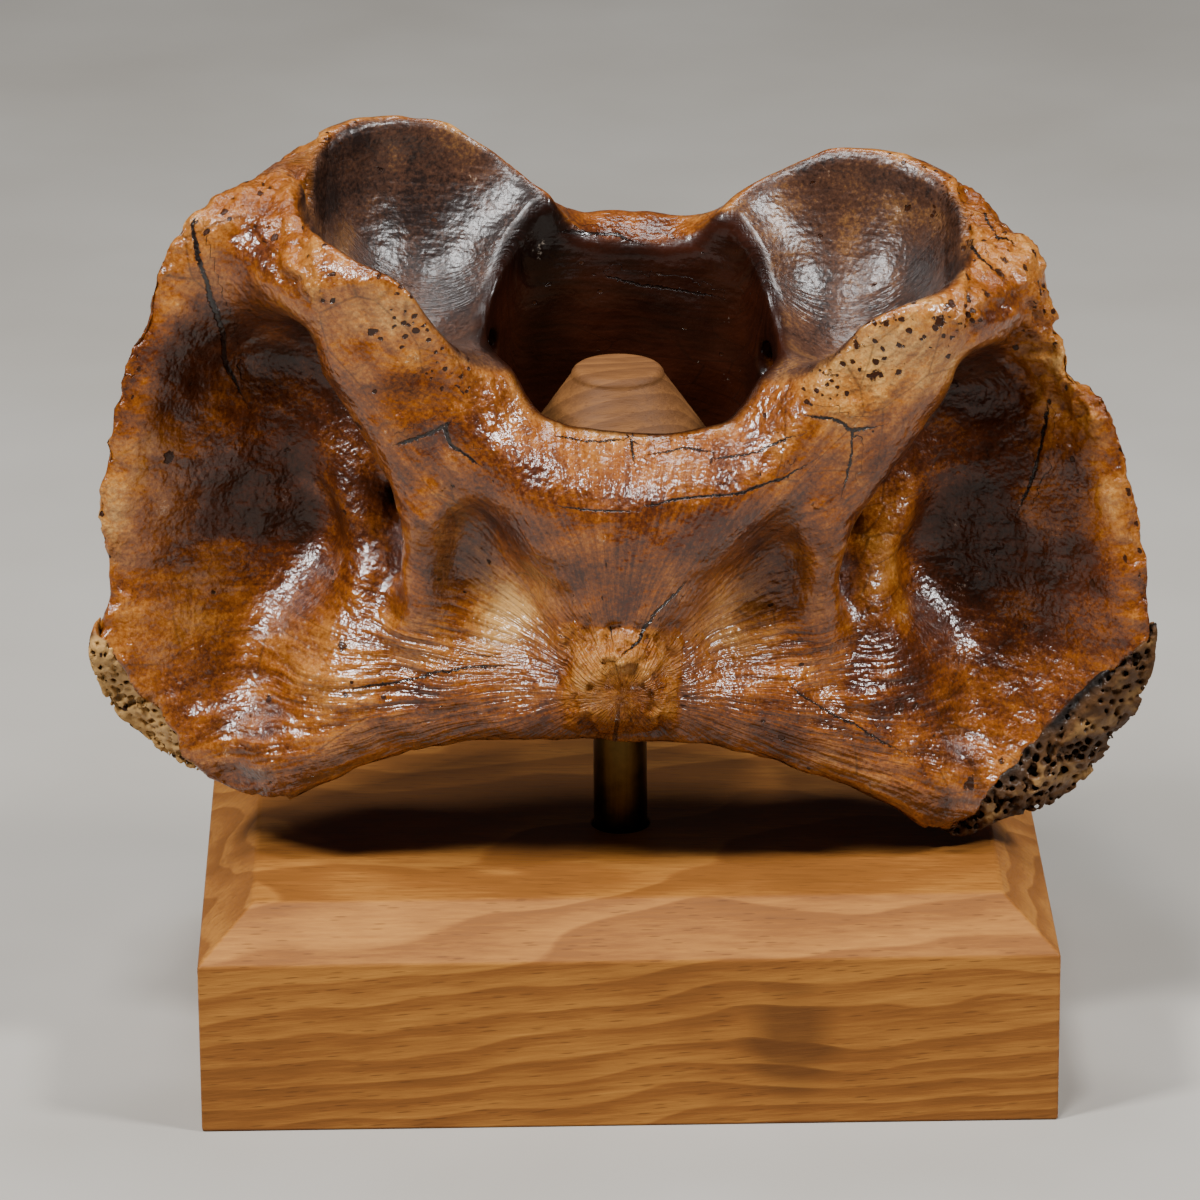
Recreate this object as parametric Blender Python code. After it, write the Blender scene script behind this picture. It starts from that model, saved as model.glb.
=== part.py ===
"""Atlas vertebra of a bison, standing cranial end up on a turned cone, a rod and a wooden plinth.

Frame: origin at the middle of the plinth's underside, x to the right, y away from the viewer,
z up. The bone is shaped in a frame of its own: x to the side, y dorsal, z cranial, with its origin
inside the neural canal, and its object's location and rotation stand it in its pose.
Sizes are in millimetres, and MM turns them into metres.
"""

from collections import namedtuple
from math import radians

import bmesh
import bpy
import numpy as np

MM = 0.001

# Plinth: a block whose top edges slope in to a raised field.
BASE_WIDTH = 160.0
BASE_DEPTH = 108.0
BASE_SIDE_HEIGHT = 33.5
BASE_SLOPE_RUN = 9.8
BASE_SLOPE_RISE = 8.7
BASE_EDGE = 0.5
BASE_HEIGHT = BASE_SIDE_HEIGHT + BASE_SLOPE_RISE

# Rod and cone share one upright axis.
AXIS_X = -0.6
AXIS_Y = -7.4
ROD_RADIUS = 5.1
ROD_SIDES = 40
ROD_CHAMFER = 0.4
SOCKET_DEPTH = 12.0
FIT_GAP = 0.3

CONE_TOP_Z = 134.0
CONE_TOP_RADIUS = 8.8
CONE_ROUNDING = 1.6
CONE_WAIST_Z = 117.0
CONE_RADIUS = 19.6
CONE_SKIRT_Z = 110.0
CONE_FOOT_Z = 104.0
CONE_FOOT_RADIUS = 17.0
CONE_BORE_DEPTH = 14.0
CONE_SIDES = 48

# Shapes of the bone, in its own frame. A Bulb is an ellipsoid, a Limb is a tapered rod with round
# ends and a Block is a box. On paired parts x is the distance from the middle plane.
Bulb = namedtuple("Bulb", "centre radii")
Limb = namedtuple("Limb", "start end start_radius end_radius")
Block = namedtuple("Block", "centre half_sizes")
Plane = namedtuple("Plane", "point normal")

TILT_DEGREES = 5.0
ROLL_DEGREES = 3.5
BONE_PLACE = (-0.4, -10.4, 100.6)

CANAL_MIDDLE_Y = 4.0
CANAL_HALF_WIDTH = 26.5
CANAL_HALF_DEPTH = 20.5
CANAL_SQUARENESS = 3.0
CANAL_FLARE_WIDTH = 2.0
CANAL_FLARE_DEPTH = 3.5
CANAL_FLARE_TOP = 34.0
CANAL_FLARE_LENGTH = 50.0

ARCH_MIDDLE_Y = 3.0
ARCH_HALF_WIDTH = 46.0
ARCH_HALF_DEPTH = 36.0
ARCH_CRANIAL_Z = 41.0
ARCH_CRANIAL_SLOPE = 0.50
ARCH_CRANIAL_SAG = 0.0034
ARCH_CRANIAL_RISE = 0.0048
ARCH_CAUDAL_Z = -28.0
ARCH_CAUDAL_BOW = 0.0053
DORSAL_NOTCH_DEPTH = 20.0
DORSAL_NOTCH_BOW = 0.0047
DORSAL_NOTCH_START = 5.0
DORSAL_NOTCH_BLEND = 22.0

CUP_BODY = Limb((33, -4, 2), (43, 8, 54), 17, 32)
CUP_RIM_Z = 63.5
CUP_RIM_LEFT_EXTRA = 3.4
CUP_RIM_LEAN = 0.16
CUP_RIM_CREST_X = 44.0
CUP_RIM_FALL_IN = 0.010
CUP_RIM_FALL_OUT = 0.0055
CUP_SADDLE = 0.088
CUP_SADDLE_X = 40.0
CUP_BOWL = Bulb((39, 6, 70), (22.4, 26, 33))
CUP_VENTRAL_END = Limb((38, -3, 67), (23, -12, 57), 18, 16)
CUP_DORSAL_END = Limb((38, 14, 69), (27, 18, 68), 16, 14)

CAUDAL_MASS = Bulb((40, 0, -26), (27, 22, 20))
PILLAR_UPPER = Limb((50, -13, 41), (35.5, -19.5, 13), 8, 4.8)
PILLAR_LOWER = Limb((35.5, -19.5, 13), (36, -16, -12), 4.8, 5.6)
STRIP_INNER = Limb((0, -20, -18), (34, -14, -23), 11, 12)
STRIP_OUTER = Limb((34, -14, -23), (60, -14, -40.5), 12, 10)
FACET_HOLLOW = 4.5
FACET_MIDDLE_Y = 2.0
FACET_HALF_DEPTH = 17.0
FACET_SETBACK = 0.5

DORSAL_TUBERCLE = Bulb((0, 37, 20), (13, 10, 20))
VENTRAL_TUBERCLE = Block((0.2, -27, -13.5), (9.6, 9.6, 8.8))
FOSSA_UPPER = Bulb((62, -10, 24), (18, 19, 21))
FOSSA_LOWER = Bulb((59, -21, 1), (28, 28, 27))
# The fossa stops at the pillar, and slopes up and forward to the strip below it.
FOSSA_LIMITS = (Plane((36.5, 0, 0), (-1, 0, 0)), Plane((36.5, 0, 13), (-0.89, 0, 0.46)),
                Plane((45, -13, -5), (0.28, 0.70, -0.66)))
HOLLOW_UPPER = Bulb((28, -31, 4), (6, 12.5, 13))
HOLLOW_LOWER = Bulb((22.5, -39, -3.5), (12, 18.5, 14))
ALAR_PIT = Bulb((50, 34, 34), (9.5, 9.5, 8.5))
ALAR_FORAMEN_MOUTH = Limb((43, -8, 6), (38, 5, 9), 3.4, 3.4)
ALAR_FORAMEN = Limb((38, 5, 9), (37, 20, 33.5), 3.4, 3.4)
LATERAL_FORAMEN = Limb((20, 8, 30), (49, 32, 37), 3.4, 3.4)

# Wing outlines as seen from the ventral side, going round from the cup to the cup: distance from
# the middle plane, then height. The two differ where their edges have broken away.
WING_LEFT = ((48, 48), (68, 62), (80, 64), (89, 53), (95, 33), (99, 10), (96.5, -8), (99, -22),
             (95, -36), (81, -45), (67, -48), (54, -46), (40, -20), (38, 20))
WING_RIGHT = ((48, 48), (67, 59), (76, 57), (82, 42), (91, 33), (97, 15), (101, -4), (101.5, -20),
              (99, -34), (90, -44), (75, -47.5), (57, -50.5), (40, -22), (38, 20))
WING_ROOT_X = 44.0
WING_SPAN = 56.0
WING_ROOT_Y = 14.0
WING_DROOP = 26.0
WING_DROOP_POWER = 1.7
WING_TWIST = 0.12
WING_BOW = 0.0010
WING_BOW_Z = 5.0
WING_CAUDAL_FALL = 16.0
WING_CAUDAL_LENGTH = 55.0
WING_CAUDAL_TAPER = 0.75
WING_HALF_THICKNESS = 5.0
WING_CAUDAL_THICKENING = 4.0
BROKEN_CORNERS = (Plane((-86, -17.5, -29), (-0.30, -0.90, -0.32)),
                  Plane((86, -17.5, -28), (0.36, -0.90, -0.25)))

# Widths over which the shapes run into each other, and over which their cut edges are rounded.
CUPS_BLEND = 13.0
CAUDAL_BLEND = 12.0
PILLAR_BLEND = 6.0
PILLAR_BEND = 4.0
STRIP_BLEND = 7.0
STRIP_BEND = 5.0
WING_BLEND = 11.0
DORSAL_TUBERCLE_BLEND = 10.0
VENTRAL_TUBERCLE_BLEND = 4.0
VENTRAL_TUBERCLE_EDGE = 5.0
CUP_ENDS_BLEND = 6.0
HOLLOW_BLEND = 8.0
ARCH_EDGE = 8.0
RIM_EDGE = 7.0
WING_EDGE = 9.0
FOSSA_BLEND = 8.0
FOSSA_EDGE = 8.0
FOSSA_CORNER = 5.0
HOLLOW_EDGE = 8.0
FACET_EDGE = 3.0
BOWL_EDGE = 4.0
CANAL_EDGE = 3.0
PIT_EDGE = 4.0
FORAMEN_EDGE = 2.0
BREAK_EDGE = 1.5

FIELD_LOW = (-108.0, -54.0, -62.0)
FIELD_HIGH = (108.0, 62.0, 84.0)
FIELD_STEP = 1.8
FIELD_PROBE = 0.2
FIELD_LEAST_SLOPE = 0.3
SETTLING_ROUNDS = 2
SETTLING_REACH = 0.25
BONE_TRIANGLES = 8400
OUTLINE_PIECES = 6
TINY = 1e-6

SHARP_ANGLE_DEGREES = 35.0
MERGE_DISTANCE = 1e-6


def clear_scene():
    """Remove every object that is already there."""
    for item in list(bpy.data.objects):
        bpy.data.objects.remove(item, do_unlink=True)


def add_object(name, mesh, material):
    """Link a mesh to the scene as one named object with its material."""
    mesh.materials.append(material)
    item = bpy.data.objects.new(name, mesh)
    bpy.context.scene.collection.objects.link(item)
    return item


def finish(name, colour, roughness, metallic=0.0):
    """Make a Principled material from a linear colour."""
    material = bpy.data.materials.new(name)
    material.use_nodes = True
    shader = material.node_tree.nodes["Principled BSDF"]
    shader.inputs["Base Color"].default_value = (*colour, 1.0)
    shader.inputs["Roughness"].default_value = roughness
    shader.inputs["Metallic"].default_value = metallic
    return material


def join_smooth(first, second, width):
    """Union of two distances, with the crease between them filled over a width."""
    overlap = np.maximum(width - np.abs(first - second), 0.0) / width
    return np.minimum(first, second) - overlap * overlap * width * 0.25


def cut_smooth(first, second, width):
    """Intersection of two distances, with the edge between them rounded over a width."""
    return -join_smooth(-first, -second, width)


def ramp(value):
    """Smooth step from 0 to 1."""
    part = np.clip(value, 0.0, 1.0)
    return part * part * (3.0 - 2.0 * part)


def bulb_distance(x, y, z, shape):
    """Distance to an ellipsoid, near enough at its surface."""
    offsets = [p - c for p, c in zip((x, y, z), shape.centre)]
    level = np.sqrt(sum((p / r) ** 2 for p, r in zip(offsets, shape.radii)))
    slope = np.sqrt(sum((p / r ** 2) ** 2 for p, r in zip(offsets, shape.radii)))
    return level * (level - 1.0) / np.maximum(slope, TINY)


def limb_distance(x, y, z, shape):
    """Distance to a tapered rod with round ends."""
    start = np.array(shape.start, float)
    along = np.array(shape.end, float) - start
    offsets = [p - c for p, c in zip((x, y, z), start)]
    part = sum(p * a for p, a in zip(offsets, along)) / (along @ along)
    part = np.clip(part, 0.0, 1.0)
    reach = np.sqrt(sum((p - part * a) ** 2 for p, a in zip(offsets, along)))
    return reach - (shape.start_radius + (shape.end_radius - shape.start_radius) * part)


def block_distance(x, y, z, block, rounding):
    """Distance to a box, with its edges rounded over a width."""
    wide, deep, tall = (np.abs(p - c) - h for p, c, h in zip((x, y, z), block.centre,
                                                             block.half_sizes))
    return cut_smooth(cut_smooth(wide, tall, rounding), deep, rounding)


def plane_distance(x, y, z, plane):
    """Height above a plane."""
    normal = np.array(plane.normal) / np.linalg.norm(plane.normal)
    return sum((p - c) * n for p, c, n in zip((x, y, z), plane.point, normal))


def smooth_outline(corners):
    """Closed Catmull-Rom curve through the corners, as a polygon."""
    points = np.array(corners, float)
    before, after, beyond = (np.roll(points, shift, axis=0) for shift in (1, -1, -2))
    curve = []
    for step in range(OUTLINE_PIECES):
        t = step / OUTLINE_PIECES
        curve.append(0.5 * (2 * points + (after - before) * t
                            + (2 * before - 5 * points + 4 * after - beyond) * t ** 2
                            + (3 * points - before - 3 * after + beyond) * t ** 3))
    return np.stack(curve, axis=1).reshape(-1, 2)


def outline_distance(x, z, polygon):
    """Distance to a closed polygon, negative inside."""
    x, z = np.broadcast_arrays(x, z)
    nearest = np.full(x.shape, np.inf)
    inside = np.zeros(x.shape, bool)
    for (ax, az), (bx, bz) in zip(polygon, np.roll(polygon, -1, axis=0)):
        run, rise = bx - ax, bz - az
        part = np.clip(((x - ax) * run + (z - az) * rise) / (run ** 2 + rise ** 2), 0.0, 1.0)
        nearest = np.minimum(nearest, (x - ax - part * run) ** 2 + (z - az - part * rise) ** 2)
        if az != bz:
            inside ^= ((az > z) != (bz > z)) & (x < run * (z - az) / rise + ax)
    return np.where(inside, -1.0, 1.0) * np.sqrt(nearest)


def canal_distance(side, y, z):
    """Neural canal: a rounded box section that widens toward the caudal end."""
    flare = ramp((CANAL_FLARE_TOP - z) / CANAL_FLARE_LENGTH)
    half_width = CANAL_HALF_WIDTH + CANAL_FLARE_WIDTH * flare
    half_depth = CANAL_HALF_DEPTH + CANAL_FLARE_DEPTH * flare
    across = (side / half_width) ** CANAL_SQUARENESS
    deep = (np.abs(y - CANAL_MIDDLE_Y) / half_depth) ** CANAL_SQUARENESS
    return ((across + deep) ** (1.0 / CANAL_SQUARENESS) - 1.0) * half_depth


def arch_distance(side, y, z):
    """Ventral and dorsal arches, as one oval ring with sloping ends and a dorsal notch."""
    section = Bulb((0.0, ARCH_MIDDLE_Y, 0.0), (ARCH_HALF_WIDTH, ARCH_HALF_DEPTH, ARCH_HALF_WIDTH))
    outer = bulb_distance(side, y, 0.0, section)
    cranial = (ARCH_CRANIAL_Z + ARCH_CRANIAL_SLOPE * (y - ARCH_MIDDLE_Y)
               - ARCH_CRANIAL_SAG * np.maximum(y, 0.0) ** 2 + ARCH_CRANIAL_RISE * side ** 2)
    dorsal = ramp((y - DORSAL_NOTCH_START) / DORSAL_NOTCH_BLEND)
    caudal = (ARCH_CAUDAL_Z - ARCH_CAUDAL_BOW * side ** 2
              + dorsal * (DORSAL_NOTCH_DEPTH - DORSAL_NOTCH_BOW * side ** 2))
    return cut_smooth(cut_smooth(outer, z - cranial, ARCH_EDGE), caudal - z, ARCH_EDGE)


def cup_distance(x, side, y, z):
    """Outer body of the cranial articular cups, cut off at their wavy rim."""
    off = side - CUP_RIM_CREST_X
    fall = np.where(off < 0.0, CUP_RIM_FALL_IN, CUP_RIM_FALL_OUT) * off ** 2
    saddle = CUP_SADDLE * np.maximum(0.0, CUP_SADDLE_X - side) * np.maximum(0.0, -y)
    rim = CUP_RIM_Z + CUP_RIM_LEFT_EXTRA * (x < 0.0) + CUP_RIM_LEAN * y - fall - saddle
    return cut_smooth(limb_distance(side, y, z, CUP_BODY), z - rim, RIM_EDGE)


def bowl_distance(side, y, z):
    """Hollow of a cranial cup, drawn out toward both ends of the arch."""
    bowl = join_smooth(bulb_distance(side, y, z, CUP_BOWL),
                       limb_distance(side, y, z, CUP_VENTRAL_END), CUP_ENDS_BLEND)
    return join_smooth(bowl, limb_distance(side, y, z, CUP_DORSAL_END), CUP_ENDS_BLEND)


def wing_distance(x, side, y, z):
    """Wings: curved plates that droop to the ventral side, inside their outlines."""
    edge = np.where(x < 0.0, outline_distance(side, z, smooth_outline(WING_LEFT)),
                    outline_distance(side, z, smooth_outline(WING_RIGHT)))
    out = np.clip((side - WING_ROOT_X) / WING_SPAN, 0.0, 1.2)
    low = ramp(-z / WING_CAUDAL_LENGTH)
    lift = z - WING_BOW_Z
    middle = (WING_ROOT_Y - WING_DROOP * out ** WING_DROOP_POWER + WING_TWIST * lift * out
              - WING_BOW * lift ** 2 - WING_CAUDAL_FALL * low * (1.0 - WING_CAUDAL_TAPER * out))
    plate = np.abs(y - middle) - WING_HALF_THICKNESS - WING_CAUDAL_THICKENING * low
    return cut_smooth(plate, edge, WING_EDGE)


def facet_distance(side, y, z):
    """Space under the caudal facets, which are a shallow saddle on either side of the canal."""
    across = np.clip(1.0 - ((y - FACET_MIDDLE_Y) / FACET_HALF_DEPTH) ** 2, 0.0, 1.0)
    floor = ARCH_CAUDAL_Z - FACET_SETBACK - ARCH_CAUDAL_BOW * side ** 2 + FACET_HOLLOW * across
    return z - floor


def bone_distance(x, y, z):
    """Distance to the surface of the whole bone, negative inside it."""
    side = np.abs(x)
    bone = join_smooth(arch_distance(side, y, z), cup_distance(x, side, y, z), CUPS_BLEND)
    bone = join_smooth(bone, bulb_distance(side, y, z, CAUDAL_MASS), CAUDAL_BLEND)
    strips = join_smooth(limb_distance(side, y, z, STRIP_INNER),
                         limb_distance(side, y, z, STRIP_OUTER), STRIP_BEND)
    bone = join_smooth(bone, strips, STRIP_BLEND)
    bone = join_smooth(bone, wing_distance(x, side, y, z), WING_BLEND)
    bone = join_smooth(bone, bulb_distance(x, y, z, DORSAL_TUBERCLE), DORSAL_TUBERCLE_BLEND)
    tubercle = block_distance(x, y, z, VENTRAL_TUBERCLE, VENTRAL_TUBERCLE_EDGE)
    bone = join_smooth(bone, tubercle, VENTRAL_TUBERCLE_BLEND)
    fossa = join_smooth(bulb_distance(side, y, z, FOSSA_UPPER),
                        bulb_distance(side, y, z, FOSSA_LOWER), FOSSA_BLEND)
    for limit in FOSSA_LIMITS:
        fossa = cut_smooth(fossa, plane_distance(side, y, z, limit), FOSSA_CORNER)
    bone = cut_smooth(bone, -fossa, FOSSA_EDGE)
    pillars = join_smooth(limb_distance(side, y, z, PILLAR_UPPER),
                          limb_distance(side, y, z, PILLAR_LOWER), PILLAR_BEND)
    bone = join_smooth(bone, pillars, PILLAR_BLEND)
    hollows = join_smooth(bulb_distance(side, y, z, HOLLOW_UPPER),
                          bulb_distance(side, y, z, HOLLOW_LOWER), HOLLOW_BLEND)
    bone = cut_smooth(bone, -hollows, HOLLOW_EDGE)
    bone = cut_smooth(bone, -facet_distance(side, y, z), FACET_EDGE)
    bone = cut_smooth(bone, -bowl_distance(side, y, z), BOWL_EDGE)
    bone = cut_smooth(bone, -canal_distance(side, y, z), CANAL_EDGE)
    bone = cut_smooth(bone, -bulb_distance(side, y, z, ALAR_PIT), PIT_EDGE)
    for foramen in (ALAR_FORAMEN_MOUTH, ALAR_FORAMEN, LATERAL_FORAMEN):
        bone = cut_smooth(bone, -limb_distance(side, y, z, foramen), FORAMEN_EDGE)
    for corner in BROKEN_CORNERS:
        bone = cut_smooth(bone, plane_distance(x, y, z, corner), BREAK_EDGE)
    return bone


def grid_axes():
    """Grid lines of the block that the bone is shaped in."""
    return [np.arange(low, high + FIELD_STEP, FIELD_STEP)
            for low, high in zip(FIELD_LOW, FIELD_HIGH)]


def cell_points(values, axes):
    """One point in each grid cell that the surface passes through, and the cells' numbers."""
    size = [n - 1 for n in values.shape]
    total = np.zeros(size + [3])
    count = np.zeros(size)

    def corner(offset):
        return values[tuple(slice(o, o + n) for o, n in zip(offset, size))]

    for axis in range(3):
        for first in ((0, 0), (0, 1), (1, 0), (1, 1)):
            low = list(first)
            low.insert(axis, 0)
            high = list(low)
            high[axis] = 1
            start, end = corner(low), corner(high)
            crossed = (start < 0.0) != (end < 0.0)
            part = np.where(crossed, start / np.where(crossed, start - end, 1.0), 0.0)
            for direction in range(3):
                place = part if direction == axis else float(low[direction])
                total[..., direction] += np.where(crossed, place, 0.0)
            count += crossed
    used = count > 0
    numbers = np.full(size, -1)
    numbers[used] = np.arange(used.sum())
    cells = np.argwhere(used)
    origin = np.array([axis[0] for axis in axes])
    points = origin + FIELD_STEP * (cells + total[used] / count[used][:, None])
    return points, numbers


def cell_faces(values, numbers):
    """Quads between the four cells round each grid edge that the surface crosses."""
    faces = []
    for axis in range(3):
        step = [0, 0, 0]
        step[axis] = 1
        low = values[tuple(slice(0, n - s) for n, s in zip(values.shape, step))] < 0.0
        high = values[tuple(slice(s, n) for n, s in zip(values.shape, step))] < 0.0
        crossed = low != high
        for other in range(3):
            if other != axis:
                border = [slice(None)] * 3
                border[other] = slice(0, 1)
                crossed[tuple(border)] = False
                border[other] = slice(values.shape[other] - 1, None)
                crossed[tuple(border)] = False
        edges = np.argwhere(crossed)
        across, over = np.zeros(3, int), np.zeros(3, int)
        across[(axis + 1) % 3] = 1
        over[(axis + 2) % 3] = 1
        ring = [numbers[tuple((edges - shift).T)]
                for shift in (across + over, over, np.zeros(3, int), across)]
        quads = np.stack(ring, axis=1)
        inward = high[tuple(edges.T)]
        quads[inward] = quads[inward][:, ::-1]
        faces.append(quads)
    return np.concatenate(faces)


def settle_on_surface(points):
    """Move points along the field's slope onto the bone's surface."""
    for _ in range(SETTLING_ROUNDS):
        level = bone_distance(*points.T)
        slope = np.stack([bone_distance(*(points + shift).T) - bone_distance(*(points - shift).T)
                          for shift in np.eye(3) * FIELD_PROBE], axis=1) / (2.0 * FIELD_PROBE)
        strength = np.maximum((slope ** 2).sum(axis=1), FIELD_LEAST_SLOPE)
        move = slope * (level / strength)[:, None]
        reach = SETTLING_REACH * FIELD_STEP
        points = points - np.clip(move, -reach, reach)
    return points


def make_bone():
    """The atlas as one closed solid, standing in its pose."""
    axes = grid_axes()
    values = bone_distance(axes[0][:, None, None], axes[1][None, :, None], axes[2][None, None, :])
    points, numbers = cell_points(values, axes)
    faces = cell_faces(values, numbers)
    points = settle_on_surface(points)
    mesh = bpy.data.meshes.new("atlas")
    mesh.from_pydata((points * MM).tolist(), [], faces.tolist())
    mesh.update()
    mesh.shade_smooth()
    bone = add_object("atlas", mesh, finish("varnished_bone", (0.235, 0.085, 0.026), 0.32))
    bone.location = [v * MM for v in BONE_PLACE]
    bone.rotation_euler = (radians(TILT_DEGREES), radians(ROLL_DEGREES), 0.0)
    thin = bone.modifiers.new("fewer_faces", "DECIMATE")
    thin.ratio = min(1.0, BONE_TRIANGLES / (2.0 * len(faces)))
    thin.use_collapse_triangulate = True
    return bone


def make_cutter(name, radius, low, high):
    """An upright cylinder on the rod's axis that only cuts."""
    mesh = bpy.data.meshes.new(name)
    shape = bmesh.new()
    bmesh.ops.create_cone(shape, cap_ends=True, segments=ROD_SIDES, radius1=radius * MM,
                          radius2=radius * MM, depth=(high - low) * MM)
    shape.to_mesh(mesh)
    shape.free()
    cutter = bpy.data.objects.new(name, mesh)
    bpy.context.scene.collection.objects.link(cutter)
    cutter.location = (AXIS_X * MM, AXIS_Y * MM, 0.5 * (low + high) * MM)
    cutter.hide_render = True
    cutter.display_type = "WIRE"
    return cutter


def make_base():
    """Wooden plinth with a sloping top edge and a socket for the rod."""
    mesh = bpy.data.meshes.new("stand_base")
    shape = bmesh.new()
    half_width, half_depth = 0.5 * BASE_WIDTH * MM, 0.5 * BASE_DEPTH * MM
    corners = [shape.verts.new((x * half_width, y * half_depth, 0.0))
               for x, y in ((-1, -1), (1, -1), (1, 1), (-1, 1))]
    floor = shape.faces.new(corners)
    side = bmesh.ops.extrude_face_region(shape, geom=[floor])
    top = [item for item in side["geom"] if isinstance(item, bmesh.types.BMVert)]
    bmesh.ops.translate(shape, verts=top, vec=(0.0, 0.0, BASE_SIDE_HEIGHT * MM))
    lid = next(item for item in side["geom"] if isinstance(item, bmesh.types.BMFace))
    slope = bmesh.ops.extrude_face_region(shape, geom=[lid])
    field = [item for item in slope["geom"] if isinstance(item, bmesh.types.BMVert)]
    for vert in field:
        vert.co.x -= np.sign(vert.co.x) * BASE_SLOPE_RUN * MM
        vert.co.y -= np.sign(vert.co.y) * BASE_SLOPE_RUN * MM
        vert.co.z += BASE_SLOPE_RISE * MM
    bmesh.ops.delete(shape, geom=[lid], context="FACES_ONLY")
    bmesh.ops.recalc_face_normals(shape, faces=shape.faces)
    shape.to_mesh(mesh)
    shape.free()
    base = add_object("stand_base", mesh, finish("oiled_wood", (0.250, 0.135, 0.058), 0.55))
    edges = base.modifiers.new("worn_edges", "BEVEL")
    edges.width = BASE_EDGE * MM
    edges.segments = 2
    edges.limit_method = "ANGLE"
    socket = base.modifiers.new("rod_socket", "BOOLEAN")
    socket.operation = "DIFFERENCE"
    socket.solver = "EXACT"
    socket.object = make_cutter("socket_cutter", ROD_RADIUS + FIT_GAP,
                                BASE_HEIGHT - SOCKET_DEPTH, BASE_HEIGHT + SOCKET_DEPTH)
    return base


def turn_profile(name, profile, sides):
    """Turn a profile of (radius, height) points about the z axis into a closed solid."""
    mesh = bpy.data.meshes.new(name)
    shape = bmesh.new()
    verts = [shape.verts.new((radius * MM, 0.0, height * MM)) for radius, height in profile]
    edges = [shape.edges.new(pair) for pair in zip(verts[:-1], verts[1:])]
    bmesh.ops.spin(shape, geom=verts + edges, cent=(0.0, 0.0, 0.0), axis=(0.0, 0.0, 1.0),
                   angle=radians(360.0), steps=sides, use_merge=True)
    bmesh.ops.remove_doubles(shape, verts=shape.verts, dist=MERGE_DISTANCE)
    bmesh.ops.recalc_face_normals(shape, faces=shape.faces)
    shape.to_mesh(mesh)
    shape.free()
    mesh.shade_smooth()
    mesh.set_sharp_from_angle(angle=radians(SHARP_ANGLE_DEGREES))
    return mesh


def make_rod():
    """Brass rod from its socket in the plinth up into the cone."""
    low = BASE_HEIGHT - SOCKET_DEPTH + FIT_GAP
    high = CONE_FOOT_Z + CONE_BORE_DEPTH - FIT_GAP
    profile = ((0.0, low), (ROD_RADIUS - ROD_CHAMFER, low), (ROD_RADIUS, low + ROD_CHAMFER),
               (ROD_RADIUS, high - ROD_CHAMFER), (ROD_RADIUS - ROD_CHAMFER, high), (0.0, high))
    rod = add_object("stand_rod", turn_profile("stand_rod", profile, ROD_SIDES),
                     finish("aged_brass", (0.300, 0.225, 0.100), 0.35, 1.0))
    rod.location = (AXIS_X * MM, AXIS_Y * MM, 0.0)
    return rod


def make_cone():
    """Turned wooden cone that fills the neural canal, with a bore for the rod."""
    bore = ROD_RADIUS + FIT_GAP
    bore_top = CONE_FOOT_Z + CONE_BORE_DEPTH
    rounding = [(CONE_TOP_RADIUS - CONE_ROUNDING * (1.0 - np.cos(radians(angle))),
                 CONE_TOP_Z - CONE_ROUNDING * (1.0 - np.sin(radians(angle))))
                for angle in (90.0, 60.0, 30.0)]
    profile = [(0.0, bore_top), (bore, bore_top), (bore, CONE_FOOT_Z),
               (CONE_FOOT_RADIUS, CONE_FOOT_Z), (CONE_RADIUS, CONE_SKIRT_Z),
               (CONE_RADIUS, CONE_WAIST_Z)] + rounding[::-1] + [(0.0, CONE_TOP_Z)]
    cone = add_object("stand_cone", turn_profile("stand_cone", profile, CONE_SIDES),
                      finish("turned_wood", (0.330, 0.200, 0.100), 0.6))
    cone.location = (AXIS_X * MM, AXIS_Y * MM, 0.0)
    return cone


def main():
    """Build the bone and its stand."""
    clear_scene()
    make_bone()
    make_base()
    make_rod()
    make_cone()


main()
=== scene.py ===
"""Looks of a mounted bison atlas: varnished old bone on a turned cone, a brass rod and a plinth.

Frame: metres, origin at the middle of the plinth's underside, x to the right, y away from the
viewer, z up. The bone is shaped in millimetres in a frame of its own (x to the side, y dorsal,
z cranial, origin inside the neural canal) and is then turned into its pose.
"""

import logging
from dataclasses import dataclass
from enum import Enum
from math import cos, pi, radians, sin

import bmesh
import bpy
import numpy as np
from mathutils import Matrix, Vector


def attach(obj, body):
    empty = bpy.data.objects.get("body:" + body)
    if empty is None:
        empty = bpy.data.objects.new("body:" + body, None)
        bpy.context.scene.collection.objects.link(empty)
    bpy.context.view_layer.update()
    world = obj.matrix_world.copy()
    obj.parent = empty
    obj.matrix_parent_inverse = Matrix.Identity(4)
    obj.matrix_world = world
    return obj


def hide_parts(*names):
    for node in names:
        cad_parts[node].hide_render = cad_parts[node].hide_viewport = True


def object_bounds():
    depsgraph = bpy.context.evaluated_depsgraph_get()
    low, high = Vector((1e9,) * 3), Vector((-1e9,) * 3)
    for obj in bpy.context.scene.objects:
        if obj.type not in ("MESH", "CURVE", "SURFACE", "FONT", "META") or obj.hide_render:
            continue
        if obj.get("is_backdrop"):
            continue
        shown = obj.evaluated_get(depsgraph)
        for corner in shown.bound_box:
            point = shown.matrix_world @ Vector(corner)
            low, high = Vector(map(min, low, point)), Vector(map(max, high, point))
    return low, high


MM = 0.001
LOG = logging.getLogger("mounted_atlas")

Array = np.ndarray
Socket = bpy.types.NodeSocket
Pair = tuple[float, float]
Triple = tuple[float, float, float]
Box = tuple[Triple, Triple]
Stops = tuple[tuple[float, str], ...]

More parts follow.
